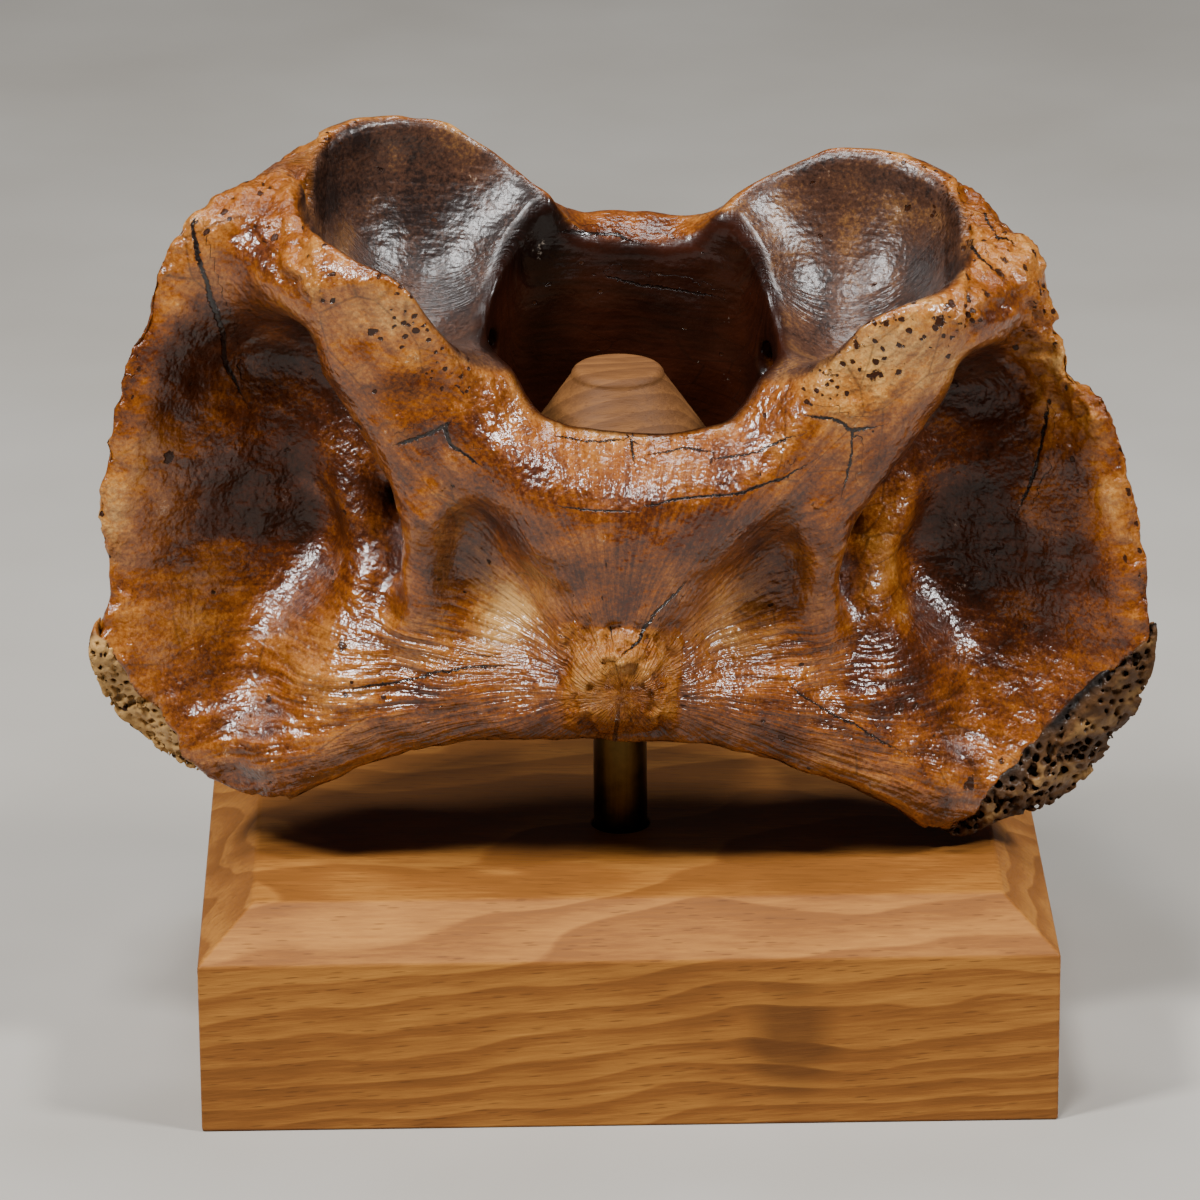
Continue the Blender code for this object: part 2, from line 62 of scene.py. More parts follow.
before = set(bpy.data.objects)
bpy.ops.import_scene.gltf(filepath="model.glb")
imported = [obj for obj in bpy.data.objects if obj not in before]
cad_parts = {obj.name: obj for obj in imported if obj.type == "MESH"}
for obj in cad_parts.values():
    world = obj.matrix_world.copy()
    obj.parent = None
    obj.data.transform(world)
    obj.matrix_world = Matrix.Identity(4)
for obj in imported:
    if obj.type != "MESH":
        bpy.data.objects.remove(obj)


# Numbers, noise and distances


def smooth_step(value: Array) -> Array:
    """Smooth step from 0 to 1."""
    part = np.clip(value, 0.0, 1.0)
    return part * part * (3.0 - 2.0 * part)


def fade(value: Array, start: float, end: float) -> Array:
    """Smooth change from 1 at start to 0 at end."""
    return 1.0 - smooth_step((value - start) / (end - start))


def join_smooth(first: Array, second: Array, width: float) -> Array:
    """Union of two distances.

    Args:
        first: Distances to one shape.
        second: Distances to the other.
        width: How far the crease between them is filled.

    Returns:
        Distances to both together.
    """
    overlap = np.maximum(width - np.abs(first - second), 0.0) / width
    return np.minimum(first, second) - overlap * overlap * (width * 0.25)


def cut_smooth(first: Array, second: Array, width: float) -> Array:
    """Intersection of two distances, with the edge between them rounded over a width."""
    return -join_smooth(-first, -second, width)


def unit(vectors: Array) -> Array:
    """Each of n vectors at length 1."""
    return vectors / np.maximum(np.linalg.norm(vectors, axis=1, keepdims=True), 1e-6)


def block_of(*axes: Array) -> Array:
    """Every place on a regular grid with these axes, as a block of places."""
    return np.stack(np.meshgrid(*axes, indexing="ij"), -1)


class Noise:
    """Repeatable noise on points in millimetres."""

    PRIMES = (0x8DA6B343, 0xD8163841, 0xCB1AB31F)
    SEED_STEP = 0x9E3779B1
    MIX = 0x5BD1E995
    WORD = 0xFFFFFFFF

    @classmethod
    def hashed(cls, cells: Array, seed: int) -> Array:
        """One number from 0 to 1 for each whole-numbered cell.

        Args:
            cells: Integer cells, n by 3.
            seed: Chooses the pattern.

        Returns:
            n numbers.
        """
        total = np.full(len(cells), seed * cls.SEED_STEP & cls.WORD, np.uint32)
        for axis, prime in enumerate(cls.PRIMES):
            total ^= cells[:, axis].astype(np.int64).astype(np.uint32) * np.uint32(prime)
            total ^= total >> np.uint32(13)
            total *= np.uint32(cls.MIX)
            total ^= total >> np.uint32(15)
        return total / np.float64(cls.WORD + 1)

    @classmethod
    def smooth(cls, points: Array, size: float | Triple, seed: int) -> Array:
        """Rounded lumps from -1 to 1 whose spacing is size."""
        place = points / np.asarray(size, float)
        cell = np.floor(place).astype(np.int64)
        part = smooth_step(place - cell)
        total = np.zeros(len(points))
        for corner in np.ndindex(2, 2, 2):
            weight = np.ones(len(points))
            for axis in range(3):
                weight = weight * (part[:, axis] if corner[axis] else 1.0 - part[:, axis])
            total += weight * cls.hashed(cell + np.array(corner), seed)
        return 2.0 * total - 1.0

    @classmethod
    def fractal(cls, points: Array, size: float | Triple, octaves: int, seed: int) -> Array:
        """Lumps on lumps, each layer half the size and height of the one before."""
        total = np.zeros(len(points))
        for octave in range(octaves):
            total += cls.smooth(points, np.asarray(size, float) / 2 ** octave,
                                seed + octave) / 2 ** octave
        return total

    @classmethod
    def nearest_cell(cls, points: Array, size: float, seed: int) -> Array:
        """Distance to the nearest of scattered points, about one in each cube of this size."""
        place = points / size
        cell = np.floor(place).astype(np.int64)
        nearest = np.full(len(points), np.inf)
        for step in np.ndindex(3, 3, 3):
            at = cell + np.array(step) - 1
            square = np.zeros(len(points))
            for axis in range(3):
                spot = at[:, axis] + cls.hashed(at, seed + axis)
                square += (place[:, axis] - spot) ** 2
            nearest = np.minimum(nearest, square)
        return np.sqrt(nearest) * size


@dataclass(frozen=True)
class Bulb:
    """An ellipsoid, in millimetres."""

    centre: Triple
    radii: Triple

    def distance(self, x: Array, y: Array, z: Array) -> Array:
        """Distance to its surface, near enough close to it."""
        offsets = [p - c for p, c in zip((x, y, z), self.centre)]
        level = np.sqrt(sum((p / r) ** 2 for p, r in zip(offsets, self.radii)))
        slope = np.sqrt(sum((p / r ** 2) ** 2 for p, r in zip(offsets, self.radii)))
        return level * (level - 1.0) / np.maximum(slope, 1e-6)


@dataclass(frozen=True)
class Limb:
    """A tapered rod with round ends, in millimetres."""

    start: Triple
    end: Triple
    start_radius: float
    end_radius: float

    def distance(self, x: Array, y: Array, z: Array) -> Array:
        """Distance to its surface."""
        along = [e - s for s, e in zip(self.start, self.end)]
        offsets = [p - s for p, s in zip((x, y, z), self.start)]
        part = sum(p * a for p, a in zip(offsets, along)) / sum(a * a for a in along)
        part = np.clip(part, 0.0, 1.0)
        reach = np.sqrt(sum((p - part * a) ** 2 for p, a in zip(offsets, along)))
        return reach - (self.start_radius + (self.end_radius - self.start_radius) * part)


@dataclass(frozen=True)
class Block:
    """A box with rounded edges, in millimetres."""

    centre: Triple
    half_sizes: Triple
    rounding: float

    def distance(self, x: Array, y: Array, z: Array) -> Array:
        """Distance to its surface."""
        wide, deep, tall = (np.abs(p - c) - h
                            for p, c, h in zip((x, y, z), self.centre, self.half_sizes))
        return cut_smooth(cut_smooth(wide, tall, self.rounding), deep, self.rounding)


@dataclass(frozen=True)
class Plane:
    """A flat cut, in millimetres: what lies on its normal's side is gone."""

    point: Triple
    normal: Triple

    def unit(self) -> Array:
        """Its normal at length 1."""
        return np.array(self.normal) / np.linalg.norm(self.normal)

    def distance(self, x: Array, y: Array, z: Array) -> Array:
        """Height above it."""
        return sum((p - c) * n for p, c, n in zip((x, y, z), self.point, self.unit()))


@dataclass(frozen=True)
class Outline:
    """A closed curve in the x-z plane that passes through its corners."""

    corners: tuple[Pair, ...]
    pieces: int = 6

    def polygon(self) -> Array:
        """Points along the curve, n by 2."""
        points = np.array(self.corners, float)
        before, after, beyond = (np.roll(points, shift, axis=0) for shift in (1, -1, -2))
        curve = []
        for step in range(self.pieces):
            t = step / self.pieces
            curve.append(0.5 * (2 * points + (after - before) * t
                                + (2 * before - 5 * points + 4 * after - beyond) * t ** 2
                                + (3 * points - before - 3 * after + beyond) * t ** 3))
        return np.stack(curve, axis=1).reshape(-1, 2)

    def distance(self, x: Array, z: Array) -> Array:
        """Distance to the curve, negative inside."""
        nearest = np.full(x.shape, np.inf)
        inside = np.zeros(x.shape, bool)
        polygon = self.polygon()
        for (ax, az), (bx, bz) in zip(polygon, np.roll(polygon, -1, axis=0)):
            run, rise = bx - ax, bz - az
            part = np.clip(((x - ax) * run + (z - az) * rise) / (run ** 2 + rise ** 2), 0.0, 1.0)
            reach = (x - ax - part * run) ** 2 + (z - az - part * rise) ** 2
            nearest = np.minimum(nearest, reach)
            if az != bz:
                inside ^= ((az > z) != (bz > z)) & (x < run * (z - az) / rise + ax)
        return np.where(inside, -1.0, 1.0) * np.sqrt(nearest)


def joined(first: Bulb | Limb, second: Bulb | Limb, width: float, *place: Array) -> Array:
    """Distance to two shapes that run into each other over a width."""
    return join_smooth(first.distance(*place), second.distance(*place), width)


# The bone's shape


@dataclass(frozen=True)
class AtlasForm:
    """The atlas as a field of distances, in its own frame. On paired parts x is the distance from
    the middle plane."""

    canal_middle_y: float = 4.0
    canal_half_width: float = 26.5
    canal_half_depth: float = 20.5
    canal_squareness: float = 3.0
    canal_flare_width: float = 2.0
    canal_flare_depth: float = 3.5
    canal_flare_top: float = 34.0
    canal_flare_length: float = 50.0

    arch_section: Bulb = Bulb((0.0, 3.0, 0.0), (46.0, 36.0, 46.0))
    arch_cranial_z: float = 41.0
    arch_cranial_slope: float = 0.50
    arch_cranial_sag: float = 0.0034
    arch_cranial_rise: float = 0.0048
    arch_caudal_z: float = -28.0
    arch_caudal_bow: float = 0.0053
    dorsal_notch_depth: float = 20.0
    dorsal_notch_bow: float = 0.0047
    dorsal_notch_start: float = 5.0
    dorsal_notch_blend: float = 22.0

    cup_body: Limb = Limb((33, -4, 2), (43, 8, 54), 17, 32)
    cup_rim_z: float = 63.5
    cup_rim_left_extra: float = 3.4
    cup_rim_lean: float = 0.16
    cup_rim_crest_x: float = 44.0
    cup_rim_fall_in: float = 0.010
    cup_rim_fall_out: float = 0.0055
    cup_saddle: float = 0.088
    cup_saddle_x: float = 40.0
    cup_bowl: Bulb = Bulb((39, 6, 70), (22.4, 26, 33))
    cup_ventral_end: Limb = Limb((38, -3, 67), (23, -12, 57), 18, 16)
    cup_dorsal_end: Limb = Limb((38, 14, 69), (27, 18, 68), 16, 14)

    caudal_mass: Bulb = Bulb((40, 0, -26), (27, 22, 20))
    pillar_upper: Limb = Limb((50, -13, 41), (35.5, -19.5, 13), 8, 4.8)
    pillar_lower: Limb = Limb((35.5, -19.5, 13), (36, -16, -12), 4.8, 5.6)
    strip_inner: Limb = Limb((0, -20, -18), (34, -14, -23), 11, 12)
    strip_outer: Limb = Limb((34, -14, -23), (60, -14, -40.5), 12, 10)
    facet_hollow: float = 4.5
    facet_middle_y: float = 2.0
    facet_half_depth: float = 17.0
    facet_setback: float = 0.5

    dorsal_tubercle: Bulb = Bulb((0, 37, 20), (13, 10, 20))
    ventral_tubercle: Block = Block((0.2, -27, -13.5), (9.6, 9.6, 8.8), 5.0)
    fossa_upper: Bulb = Bulb((62, -10, 24), (18, 19, 21))
    fossa_lower: Bulb = Bulb((59, -21, 1), (28, 28, 27))
    fossa_limits: tuple[Plane, ...] = (
        Plane((36.5, 0, 0), (-1, 0, 0)), Plane((36.5, 0, 13), (-0.89, 0, 0.46)),
        Plane((45, -13, -5), (0.28, 0.70, -0.66)))
    hollow_upper: Bulb = Bulb((28, -31, 4), (6, 12.5, 13))
    hollow_lower: Bulb = Bulb((22.5, -39, -3.5), (12, 18.5, 14))
    alar_pit: Bulb = Bulb((50, 34, 34), (9.5, 9.5, 8.5))
    alar_foramen_mouth: Limb = Limb((43, -8, 6), (38, 5, 9), 3.4, 3.4)
    alar_foramen: Limb = Limb((38, 5, 9), (37, 20, 33.5), 3.4, 3.4)
    lateral_foramen: Limb = Limb((20, 8, 30), (49, 32, 37), 3.4, 3.4)
    wing_crack_mouth: Limb = Limb((-82.5, -6, 60.5), (-80.5, -4, 54), 1.6, 0.9)

    wing_left: Outline = Outline((
        (48, 48), (68, 62), (80, 64), (89, 53), (95, 33), (99, 10), (96.5, -8), (99, -22),
        (95, -36), (81, -45), (67, -48), (54, -46), (40, -20), (38, 20)))
    wing_right: Outline = Outline((
        (48, 48), (67, 59), (76, 57), (82, 42), (91, 33), (97, 15), (101, -4), (101.5, -20),
        (99, -34), (90, -44), (75, -47.5), (57, -50.5), (40, -22), (38, 20)))
    wing_root_x: float = 44.0
    wing_span: float = 56.0
    wing_root_y: float = 14.0
    wing_droop: float = 26.0
    wing_droop_power: float = 1.7
    wing_twist: float = 0.12
    wing_bow: float = 0.0010
    wing_bow_z: float = 5.0
    wing_caudal_fall: float = 16.0
    wing_caudal_length: float = 55.0
    wing_caudal_taper: float = 0.75
    wing_half_thickness: float = 5.0
    wing_caudal_thickening: float = 4.0

    cups_blend: float = 13.0
    caudal_blend: float = 12.0
    pillar_blend: float = 6.0
    pillar_bend: float = 4.0
    strip_blend: float = 7.0
    strip_bend: float = 5.0
    wing_blend: float = 11.0
    dorsal_tubercle_blend: float = 10.0
    ventral_tubercle_blend: float = 4.0
    cup_ends_blend: float = 6.0
    hollow_blend: float = 8.0
    arch_edge: float = 8.0
    rim_edge: float = 7.0
    wing_edge: float = 9.0
    fossa_blend: float = 8.0
    fossa_edge: float = 8.0
    fossa_corner: float = 5.0
    hollow_edge: float = 8.0
    facet_edge: float = 3.0
    bowl_edge: float = 4.0
    canal_edge: float = 3.0
    pit_edge: float = 4.0
    foramen_edge: float = 2.0

    low: Triple = (-108.0, -54.0, -62.0)
    high: Triple = (108.0, 62.0, 84.0)
    probe: float = 0.2
    least_steepness: float = 0.3

    def canal(self, side: Array, y: Array, z: Array) -> Array:
        """Neural canal: a rounded box section that widens toward the caudal end."""
        flare = smooth_step((self.canal_flare_top - z) / self.canal_flare_length)
        half_width = self.canal_half_width + self.canal_flare_width * flare
        half_depth = self.canal_half_depth + self.canal_flare_depth * flare
        power = self.canal_squareness
        across = (side / half_width) ** power
        deep = (np.abs(y - self.canal_middle_y) / half_depth) ** power
        return ((across + deep) ** (1.0 / power) - 1.0) * half_depth

    def arch(self, side: Array, y: Array, z: Array) -> Array:
        """Ventral and dorsal arches, as one oval ring with sloping ends and a dorsal notch."""
        outer = self.arch_section.distance(side, y, 0.0)
        lift = y - self.arch_section.centre[1]
        cranial = (self.arch_cranial_z + self.arch_cranial_slope * lift
                   - self.arch_cranial_sag * np.maximum(y, 0.0) ** 2
                   + self.arch_cranial_rise * side ** 2)
        dorsal = smooth_step((y - self.dorsal_notch_start) / self.dorsal_notch_blend)
        caudal = (self.arch_caudal_z - self.arch_caudal_bow * side ** 2
                  + dorsal * (self.dorsal_notch_depth - self.dorsal_notch_bow * side ** 2))
        return cut_smooth(cut_smooth(outer, z - cranial, self.arch_edge), caudal - z,
                          self.arch_edge)

    def cup(self, x: Array, side: Array, y: Array, z: Array) -> Array:
        """Outer body of the cranial articular cups, cut off at their wavy rim."""
        off = side - self.cup_rim_crest_x
        fall = np.where(off < 0.0, self.cup_rim_fall_in, self.cup_rim_fall_out) * off ** 2
        saddle = (self.cup_saddle * np.maximum(0.0, self.cup_saddle_x - side)
                  * np.maximum(0.0, -y))
        rim = (self.cup_rim_z + self.cup_rim_left_extra * (x < 0.0) + self.cup_rim_lean * y
               - fall - saddle)
        return cut_smooth(self.cup_body.distance(side, y, z), z - rim, self.rim_edge)

    def bowl(self, side: Array, y: Array, z: Array) -> Array:
        """Hollow of a cranial cup, drawn out toward both ends of the arch."""
        bowl = joined(self.cup_bowl, self.cup_ventral_end, self.cup_ends_blend, side, y, z)
        return join_smooth(bowl, self.cup_dorsal_end.distance(side, y, z), self.cup_ends_blend)

    def margin(self, x: Array, z: Array) -> Array:
        """Distance to the wings' outlines, negative inside them."""
        x, z = np.broadcast_arrays(x, z)
        reach = np.empty(x.shape, x.dtype)
        for outline, chosen in ((self.wing_left, x < 0.0), (self.wing_right, x >= 0.0)):
            reach[chosen] = outline.distance(np.abs(x[chosen]), z[chosen])
        return reach

    def wing(self, x: Array, side: Array, y: Array, z: Array) -> Array:
        """Wings: curved plates that droop to the ventral side, inside their outlines."""
        out = np.clip((side - self.wing_root_x) / self.wing_span, 0.0, 1.2)
        low = smooth_step(-z / self.wing_caudal_length)
        lift = z - self.wing_bow_z
        middle = (self.wing_root_y - self.wing_droop * out ** self.wing_droop_power
                  + self.wing_twist * lift * out - self.wing_bow * lift ** 2
                  - self.wing_caudal_fall * low * (1.0 - self.wing_caudal_taper * out))
        plate = (np.abs(y - middle) - self.wing_half_thickness
                 - self.wing_caudal_thickening * low)
        return cut_smooth(plate, self.margin(x, z), self.wing_edge)

    def facet(self, side: Array, y: Array, z: Array) -> Array:
        """Height above the caudal facets, a shallow saddle on either side of the canal."""
        across = np.clip(1.0 - ((y - self.facet_middle_y) / self.facet_half_depth) ** 2, 0.0, 1.0)
        floor = (self.arch_caudal_z - self.facet_setback - self.arch_caudal_bow * side ** 2
                 + self.facet_hollow * across)
        return z - floor

    def distance(self, x: Array, y: Array, z: Array) -> Array:
        """Distance to the whole bone before its wing corners broke off, negative inside."""
        side = np.abs(x)
        spot = (side, y, z)
        bone = self.arch(*spot)
        for part, blend in (
                (self.cup(x, *spot), self.cups_blend),
                (self.caudal_mass.distance(*spot), self.caudal_blend),
                (joined(self.strip_inner, self.strip_outer, self.strip_bend, *spot),
                 self.strip_blend),
                (self.wing(x, *spot), self.wing_blend),
                (self.dorsal_tubercle.distance(x, y, z), self.dorsal_tubercle_blend),
                (self.ventral_tubercle.distance(x, y, z), self.ventral_tubercle_blend)):
            bone = join_smooth(bone, part, blend)
        fossa = joined(self.fossa_upper, self.fossa_lower, self.fossa_blend, *spot)
        for limit in self.fossa_limits:
            fossa = cut_smooth(fossa, limit.distance(*spot), self.fossa_corner)
        bone = cut_smooth(bone, -fossa, self.fossa_edge)
        pillar = joined(self.pillar_upper, self.pillar_lower, self.pillar_bend, *spot)
        bone = join_smooth(bone, pillar, self.pillar_blend)
        hollow = joined(self.hollow_upper, self.hollow_lower, self.hollow_blend, *spot)
        foramina = (self.alar_foramen_mouth, self.alar_foramen, self.lateral_foramen)
        for gap, edge in ((hollow, self.hollow_edge), (self.facet(*spot), self.facet_edge),
                          (self.bowl(*spot), self.bowl_edge), (self.canal(*spot), self.canal_edge),
                          (self.alar_pit.distance(*spot), self.pit_edge),
                          *((hole.distance(*spot), self.foramen_edge) for hole in foramina)):
            bone = cut_smooth(bone, -gap, edge)
        return np.maximum(bone, -self.wing_crack_mouth.distance(x, y, z))

    def at(self, points: Array) -> Array:
        """Distance at each of n points."""
        return self.distance(*points.T)

    def slope(self, points: Array) -> Array:
        """Slope of the distance at each of n points, n by 3."""
        return np.stack([self.at(points + step) - self.at(points - step)
                         for step in np.eye(3) * self.probe], axis=1) / (2.0 * self.probe)

    def misses(self, points: Array) -> tuple[Array, Array, Array]:
        """How far each of n points is off the surface.

        Args:
            points: Places near the surface, n by 3.

        Returns:
            The distances and slopes there, and the steps from the surface to the points.
        """
        level, slope = self.at(points), self.slope(points)
        steepness = np.maximum((slope ** 2).sum(axis=1), self.least_steepness)
        return level, slope, slope * (level / steepness)[:, None]


class NetMesher:
    """Turns a block of distances into quads, with one point in each cell on the surface."""

    def __init__(self, values: Array, origin: Triple, step: float) -> None:
        """Keep the block.

        Args:
            values: Distances on a regular grid.
            origin: Place of the first grid corner.
            step: Spacing of the grid.
        """
        self.values = values
        self.origin = np.array(origin, float)
        self.step = step

    def points(self) -> tuple[Array, Array]:
        """One point for each cell that the surface passes through.

        Returns:
            The points, n by 3, and the number of each cell's point, or -1.
        """
        size = [n - 1 for n in self.values.shape]
        signs = self.values < 0.0
        inside = np.zeros(size, np.int8)
        for corner in np.ndindex(2, 2, 2):
            inside += signs[tuple(slice(o, o + n) for o, n in zip(corner, size))]
        cells = np.argwhere((inside > 0) & (inside < 8))
        numbers = np.full(size, -1)
        numbers[tuple(cells.T)] = np.arange(len(cells))
        total = np.zeros((len(cells), 3))
        count = np.zeros(len(cells))
        for axis in range(3):
            for first in ((0, 0), (0, 1), (1, 0), (1, 1)):
                low = list(first)
                low.insert(axis, 0)
                high = list(low)
                high[axis] = 1
                start = self.values[tuple((cells + low).T)].astype(float)
                end = self.values[tuple((cells + high).T)].astype(float)
                crossed = (start < 0.0) != (end < 0.0)
                part = np.where(crossed, start / np.where(crossed, start - end, 1.0), 0.0)
                place = np.tile(np.array(low, float), (len(cells), 1))
                place[:, axis] = part
                total += place * crossed[:, None]
                count += crossed
        return self.origin + self.step * (cells + total / count[:, None]), numbers

    def quads(self, numbers: Array) -> Array:
        """Quads that join the points, facing outward, m by 4."""
        found = []
        shape = self.values.shape
        for axis in range(3):
            step = [0, 0, 0]
            step[axis] = 1
            low = self.values[tuple(slice(0, n - s) for n, s in zip(shape, step))] < 0.0
            high = self.values[tuple(slice(s, n) for n, s in zip(shape, step))] < 0.0
            edges = np.argwhere(low != high)
            across, over = np.zeros(3, int), np.zeros(3, int)
            across[(axis + 1) % 3] = 1
            over[(axis + 2) % 3] = 1
            ring = np.stack([numbers[tuple((edges - shift).T)]
                             for shift in (across + over, over, np.zeros(3, int), across)], axis=1)
            inward = high[tuple(edges.T)]
            ring[inward] = ring[inward][:, ::-1]
            found.append(ring)
        return np.concatenate(found)


# Meshes


@dataclass(frozen=True)
class Pose:
    """Where the bone's own frame stands in the shared one."""

    place: Triple = (-0.4, -10.4, 100.6)
    tilt_degrees: float = 5.0
    roll_degrees: float = 3.5

    def matrix(self) -> Matrix:
        """From millimetres in the bone's frame to metres in the shared frame."""
        turn = (Matrix.Rotation(radians(self.roll_degrees), 4, "Y")
                @ Matrix.Rotation(radians(self.tilt_degrees), 4, "X"))
        return Matrix.Scale(MM, 4) @ Matrix.Translation(self.place) @ turn

    def take(self, piece: bpy.types.Object, box: Box) -> bpy.types.Object:
        """Move a piece from the bone's frame to the shared one, and hold it inside a box."""
        piece.data.transform(self.matrix())
        Shop.hold(piece.data, box)
        return piece


class Shop:
    """Makes mesh objects and puts them into the frame."""

    @staticmethod
    def from_arrays(name: str, points: Array, faces: Array) -> bpy.types.Object:
        """An object from numpy points and faces.

        Args:
            name: Name of the object and its mesh.
            points: n by 3.
            faces: m by 3 or 4.

        Returns:
            The linked object, smooth shaded.
        """
        mesh = bpy.data.meshes.new(name)
        mesh.from_pydata(points.tolist(), [], faces.tolist())
        mesh.update()
        mesh.shade_smooth()
        return Shop.linked(mesh)

    @staticmethod
    def from_bmesh(name: str, shape: bmesh.types.BMesh) -> bpy.types.Object:
        """An object from a bmesh, which is freed."""
        mesh = bpy.data.meshes.new(name)
        shape.to_mesh(mesh)
        shape.free()
        return Shop.linked(mesh)

    @staticmethod
    def linked(data: bpy.types.ID) -> bpy.types.Object:
        """An object in the scene, with this data and its name."""
        item = bpy.data.objects.new(data.name, data)
        bpy.context.scene.collection.objects.link(item)
        return item

    @staticmethod
    def triangles(mesh: bpy.types.Mesh) -> int:
        """How many triangles a mesh's faces come to."""
        return sum(len(face.vertices) - 2 for face in mesh.polygons)

    @staticmethod
    def bake(piece: bpy.types.Object) -> bpy.types.Object:
        """Turn an object's evaluated result into its plain mesh and remove its modifiers."""
        graph = bpy.context.evaluated_depsgraph_get()
        mesh = bpy.data.meshes.new_from_object(piece.evaluated_get(graph))
        old = piece.data
        piece.modifiers.clear()
        piece.data = mesh
        bpy.data.meshes.remove(old)
        mesh.name = piece.name
        return piece

    @staticmethod
    def thinned(piece: bpy.types.Object, triangles: int) -> bpy.types.Object:
        """Collapse edges until about this many triangles are left."""
        now = Shop.triangles(piece.data)
        if now > triangles:
            thin = piece.modifiers.new("fewer_faces", "DECIMATE")
            thin.ratio = triangles / now
            thin.use_collapse_triangulate = True
            Shop.bake(piece)
            piece.data.shade_smooth()
        return piece

    @staticmethod
    def coordinates(mesh: bpy.types.Mesh) -> Array:
        """A mesh's points, n by 3."""
        values = np.empty(len(mesh.vertices) * 3, np.float32)
        mesh.vertices.foreach_get("co", values)
        return values.reshape(-1, 3).astype(float)

    @staticmethod
    def hold(mesh: bpy.types.Mesh, box: Box) -> None:
        """Press what sticks out of a box back to its sides."""
        points = Shop.coordinates(mesh)
        mesh.vertices.foreach_set("co", np.clip(points, *box).astype(np.float32).ravel())
        mesh.update()

    @staticmethod
    def mark(mesh: bpy.types.Mesh, name: str, values: Array) -> None:
        """Store one number, or one vector, for each point of a mesh."""
        kind = "FLOAT" if values.ndim == 1 else "FLOAT_VECTOR"
        layer = mesh.attributes.new(name, kind, "POINT")
        layer.data.foreach_set("value" if kind == "FLOAT" else "vector",
                               values.astype(np.float32).ravel())

    @staticmethod
    def settle(piece: bpy.types.Object, material: bpy.types.Material, slot: str,
               *replaced: str) -> None:
        """Dress a finished piece and put it on the frame.

        Args:
            piece: The finished object.
            material: Its finish.
            slot: Name of its material slot; not used.
            *replaced: Solids that the piece stands for.
        """
        piece.data.materials.clear()
        piece.data.materials.append(material)
        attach(piece, "root")
        if replaced:
            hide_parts(*replaced)
        LOG.info("%s: %d triangles", piece.name, Shop.triangles(piece.data))


@dataclass(frozen=True)
class Crack:
    """A drying crack: points on the surface in the bone's frame, and half its width, in mm."""

    points: tuple[Triple, ...]
    half_width: float


CRACKS = (
    Crack(((-82.0, -1.1, 59.8), (-80.9, -2.5, 55.5), (-78.1, -1.6, 45.7), (-74.9, 0.2, 37.6),
           (-74.5, 1.4, 33.4), (-71.3, 5.0, 23.0)), 0.45),
    Crack(((-41.7, -22.4, 28.4), (-37.8, -24.0, 30.4), (-33.9, -24.4, 33.2)), 0.35),
    Crack(((-33.9, -24.4, 33.2), (-33.3, -25.1, 28.9), (-27.5, -26.5, 26.3)), 0.35),
    Crack(((0.2, -19.0, 31.5), (0.2, -20.5, 29.5), (0.6, -23.5, 27.0)), 0.25),
    Crack(((-12.7, -20.6, 30.0), (-6.6, -20.6, 29.4), (-0.9, -19.7, 29.7)), 0.18),
    Crack(((4.6, -22.2, 28.5), (9.9, -21.3, 29.4), (15.2, -22.3, 29.5)), 0.2),
    Crack(((4.6, -30.8, 22.2), (12.8, -29.8, 23.2), (20.1, -28.4, 23.7), (28.3, -26.4, 26.0),
           (33.0, -25.1, 29.2)), 0.25),
    Crack(((-11.2, -31.2, 20.8), (-5.4, -31.7, 20.5), (0.3, -31.7, 20.8)), 0.15),
    Crack(((15.9, -23.6, 28.9), (24.4, -23.3, 30.8), (30.0, -23.9, 33.8)), 0.18),
    Crack(((32.7, -23.0, 37.5), (37.2, -23.6, 36.8), (40.0, -23.5, 34.9), (44.5, -21.0, 36.0)),
          0.3),
    Crack(((40.0, -23.5, 34.9), (40.0, -23.4, 30.0), (39.2, -23.5, 23.5)), 0.2),
    Crack(((60.8, 5.7, 61.3), (62.6, -1.0, 61.8), (66.2, -3.5, 60.6)), 0.3),
    Crack(((65.0, 16.9, 64.3), (66.8, 8.2, 63.5), (70.1, 4.7, 62.7)), 0.3),
    Crack(((76.8, 1.2, 28.8), (77.8, 2.4, 17.6), (75.9, 3.8, 9.7)), 0.3),
    Crack(((10.5, -31.1, 5.4), (5.8, -32.5, 1.0), (3.3, -34.1, -4.0), (-0.1, -36.0, -6.5)), 0.3),
    Crack(((-12.7, 24.3, 52.0), (-6.2, 27.3, 50.9), (-3.0, 27.8, 50.9), (0.4, 26.2, 50.1)), 0.35),
    Crack(((-3.4, 24.5, 42.7), (2.4, 24.5, 41.3), (10.1, 24.1, 40.9), (15.9, 22.9, 40.6)), 0.2),
    Crack(((-47.5, -23.8, -21.5), (-35.8, -27.1, -16.2), (-27.4, -25.9, -15.3),
           (-19.8, -26.3, -14.3)), 0.2),
    Crack(((33.9, -27.1, -16.3), (43.7, -26.1, -23.0), (53.6, -23.7, -30.0)), 0.18),
)


@dataclass(frozen=True)
class BrokenCorner:
    """A lower wing corner whose cortex has broken away from the spongy bone inside."""

    name: str
    face: Plane
    border: Plane
    pore_mm: float
    pore_depth_mm: float
    pore_seed: int
    paleness: float
    ragged_mm: float = 1.3
    ragged_size_mm: float = 4.5
    voxel_mm: float = 0.42
    overlap_mm: float = 0.5
    reach_mm: float = 62.0

    def border_at(self, points: Array) -> Array:
        """Distance beyond the ragged line where the cortex ends."""
        line = self.border.distance(*points.T)
        return line + self.ragged_mm * Noise.fractal(points, self.ragged_size_mm, 2,
                                                     self.pore_seed + 40)


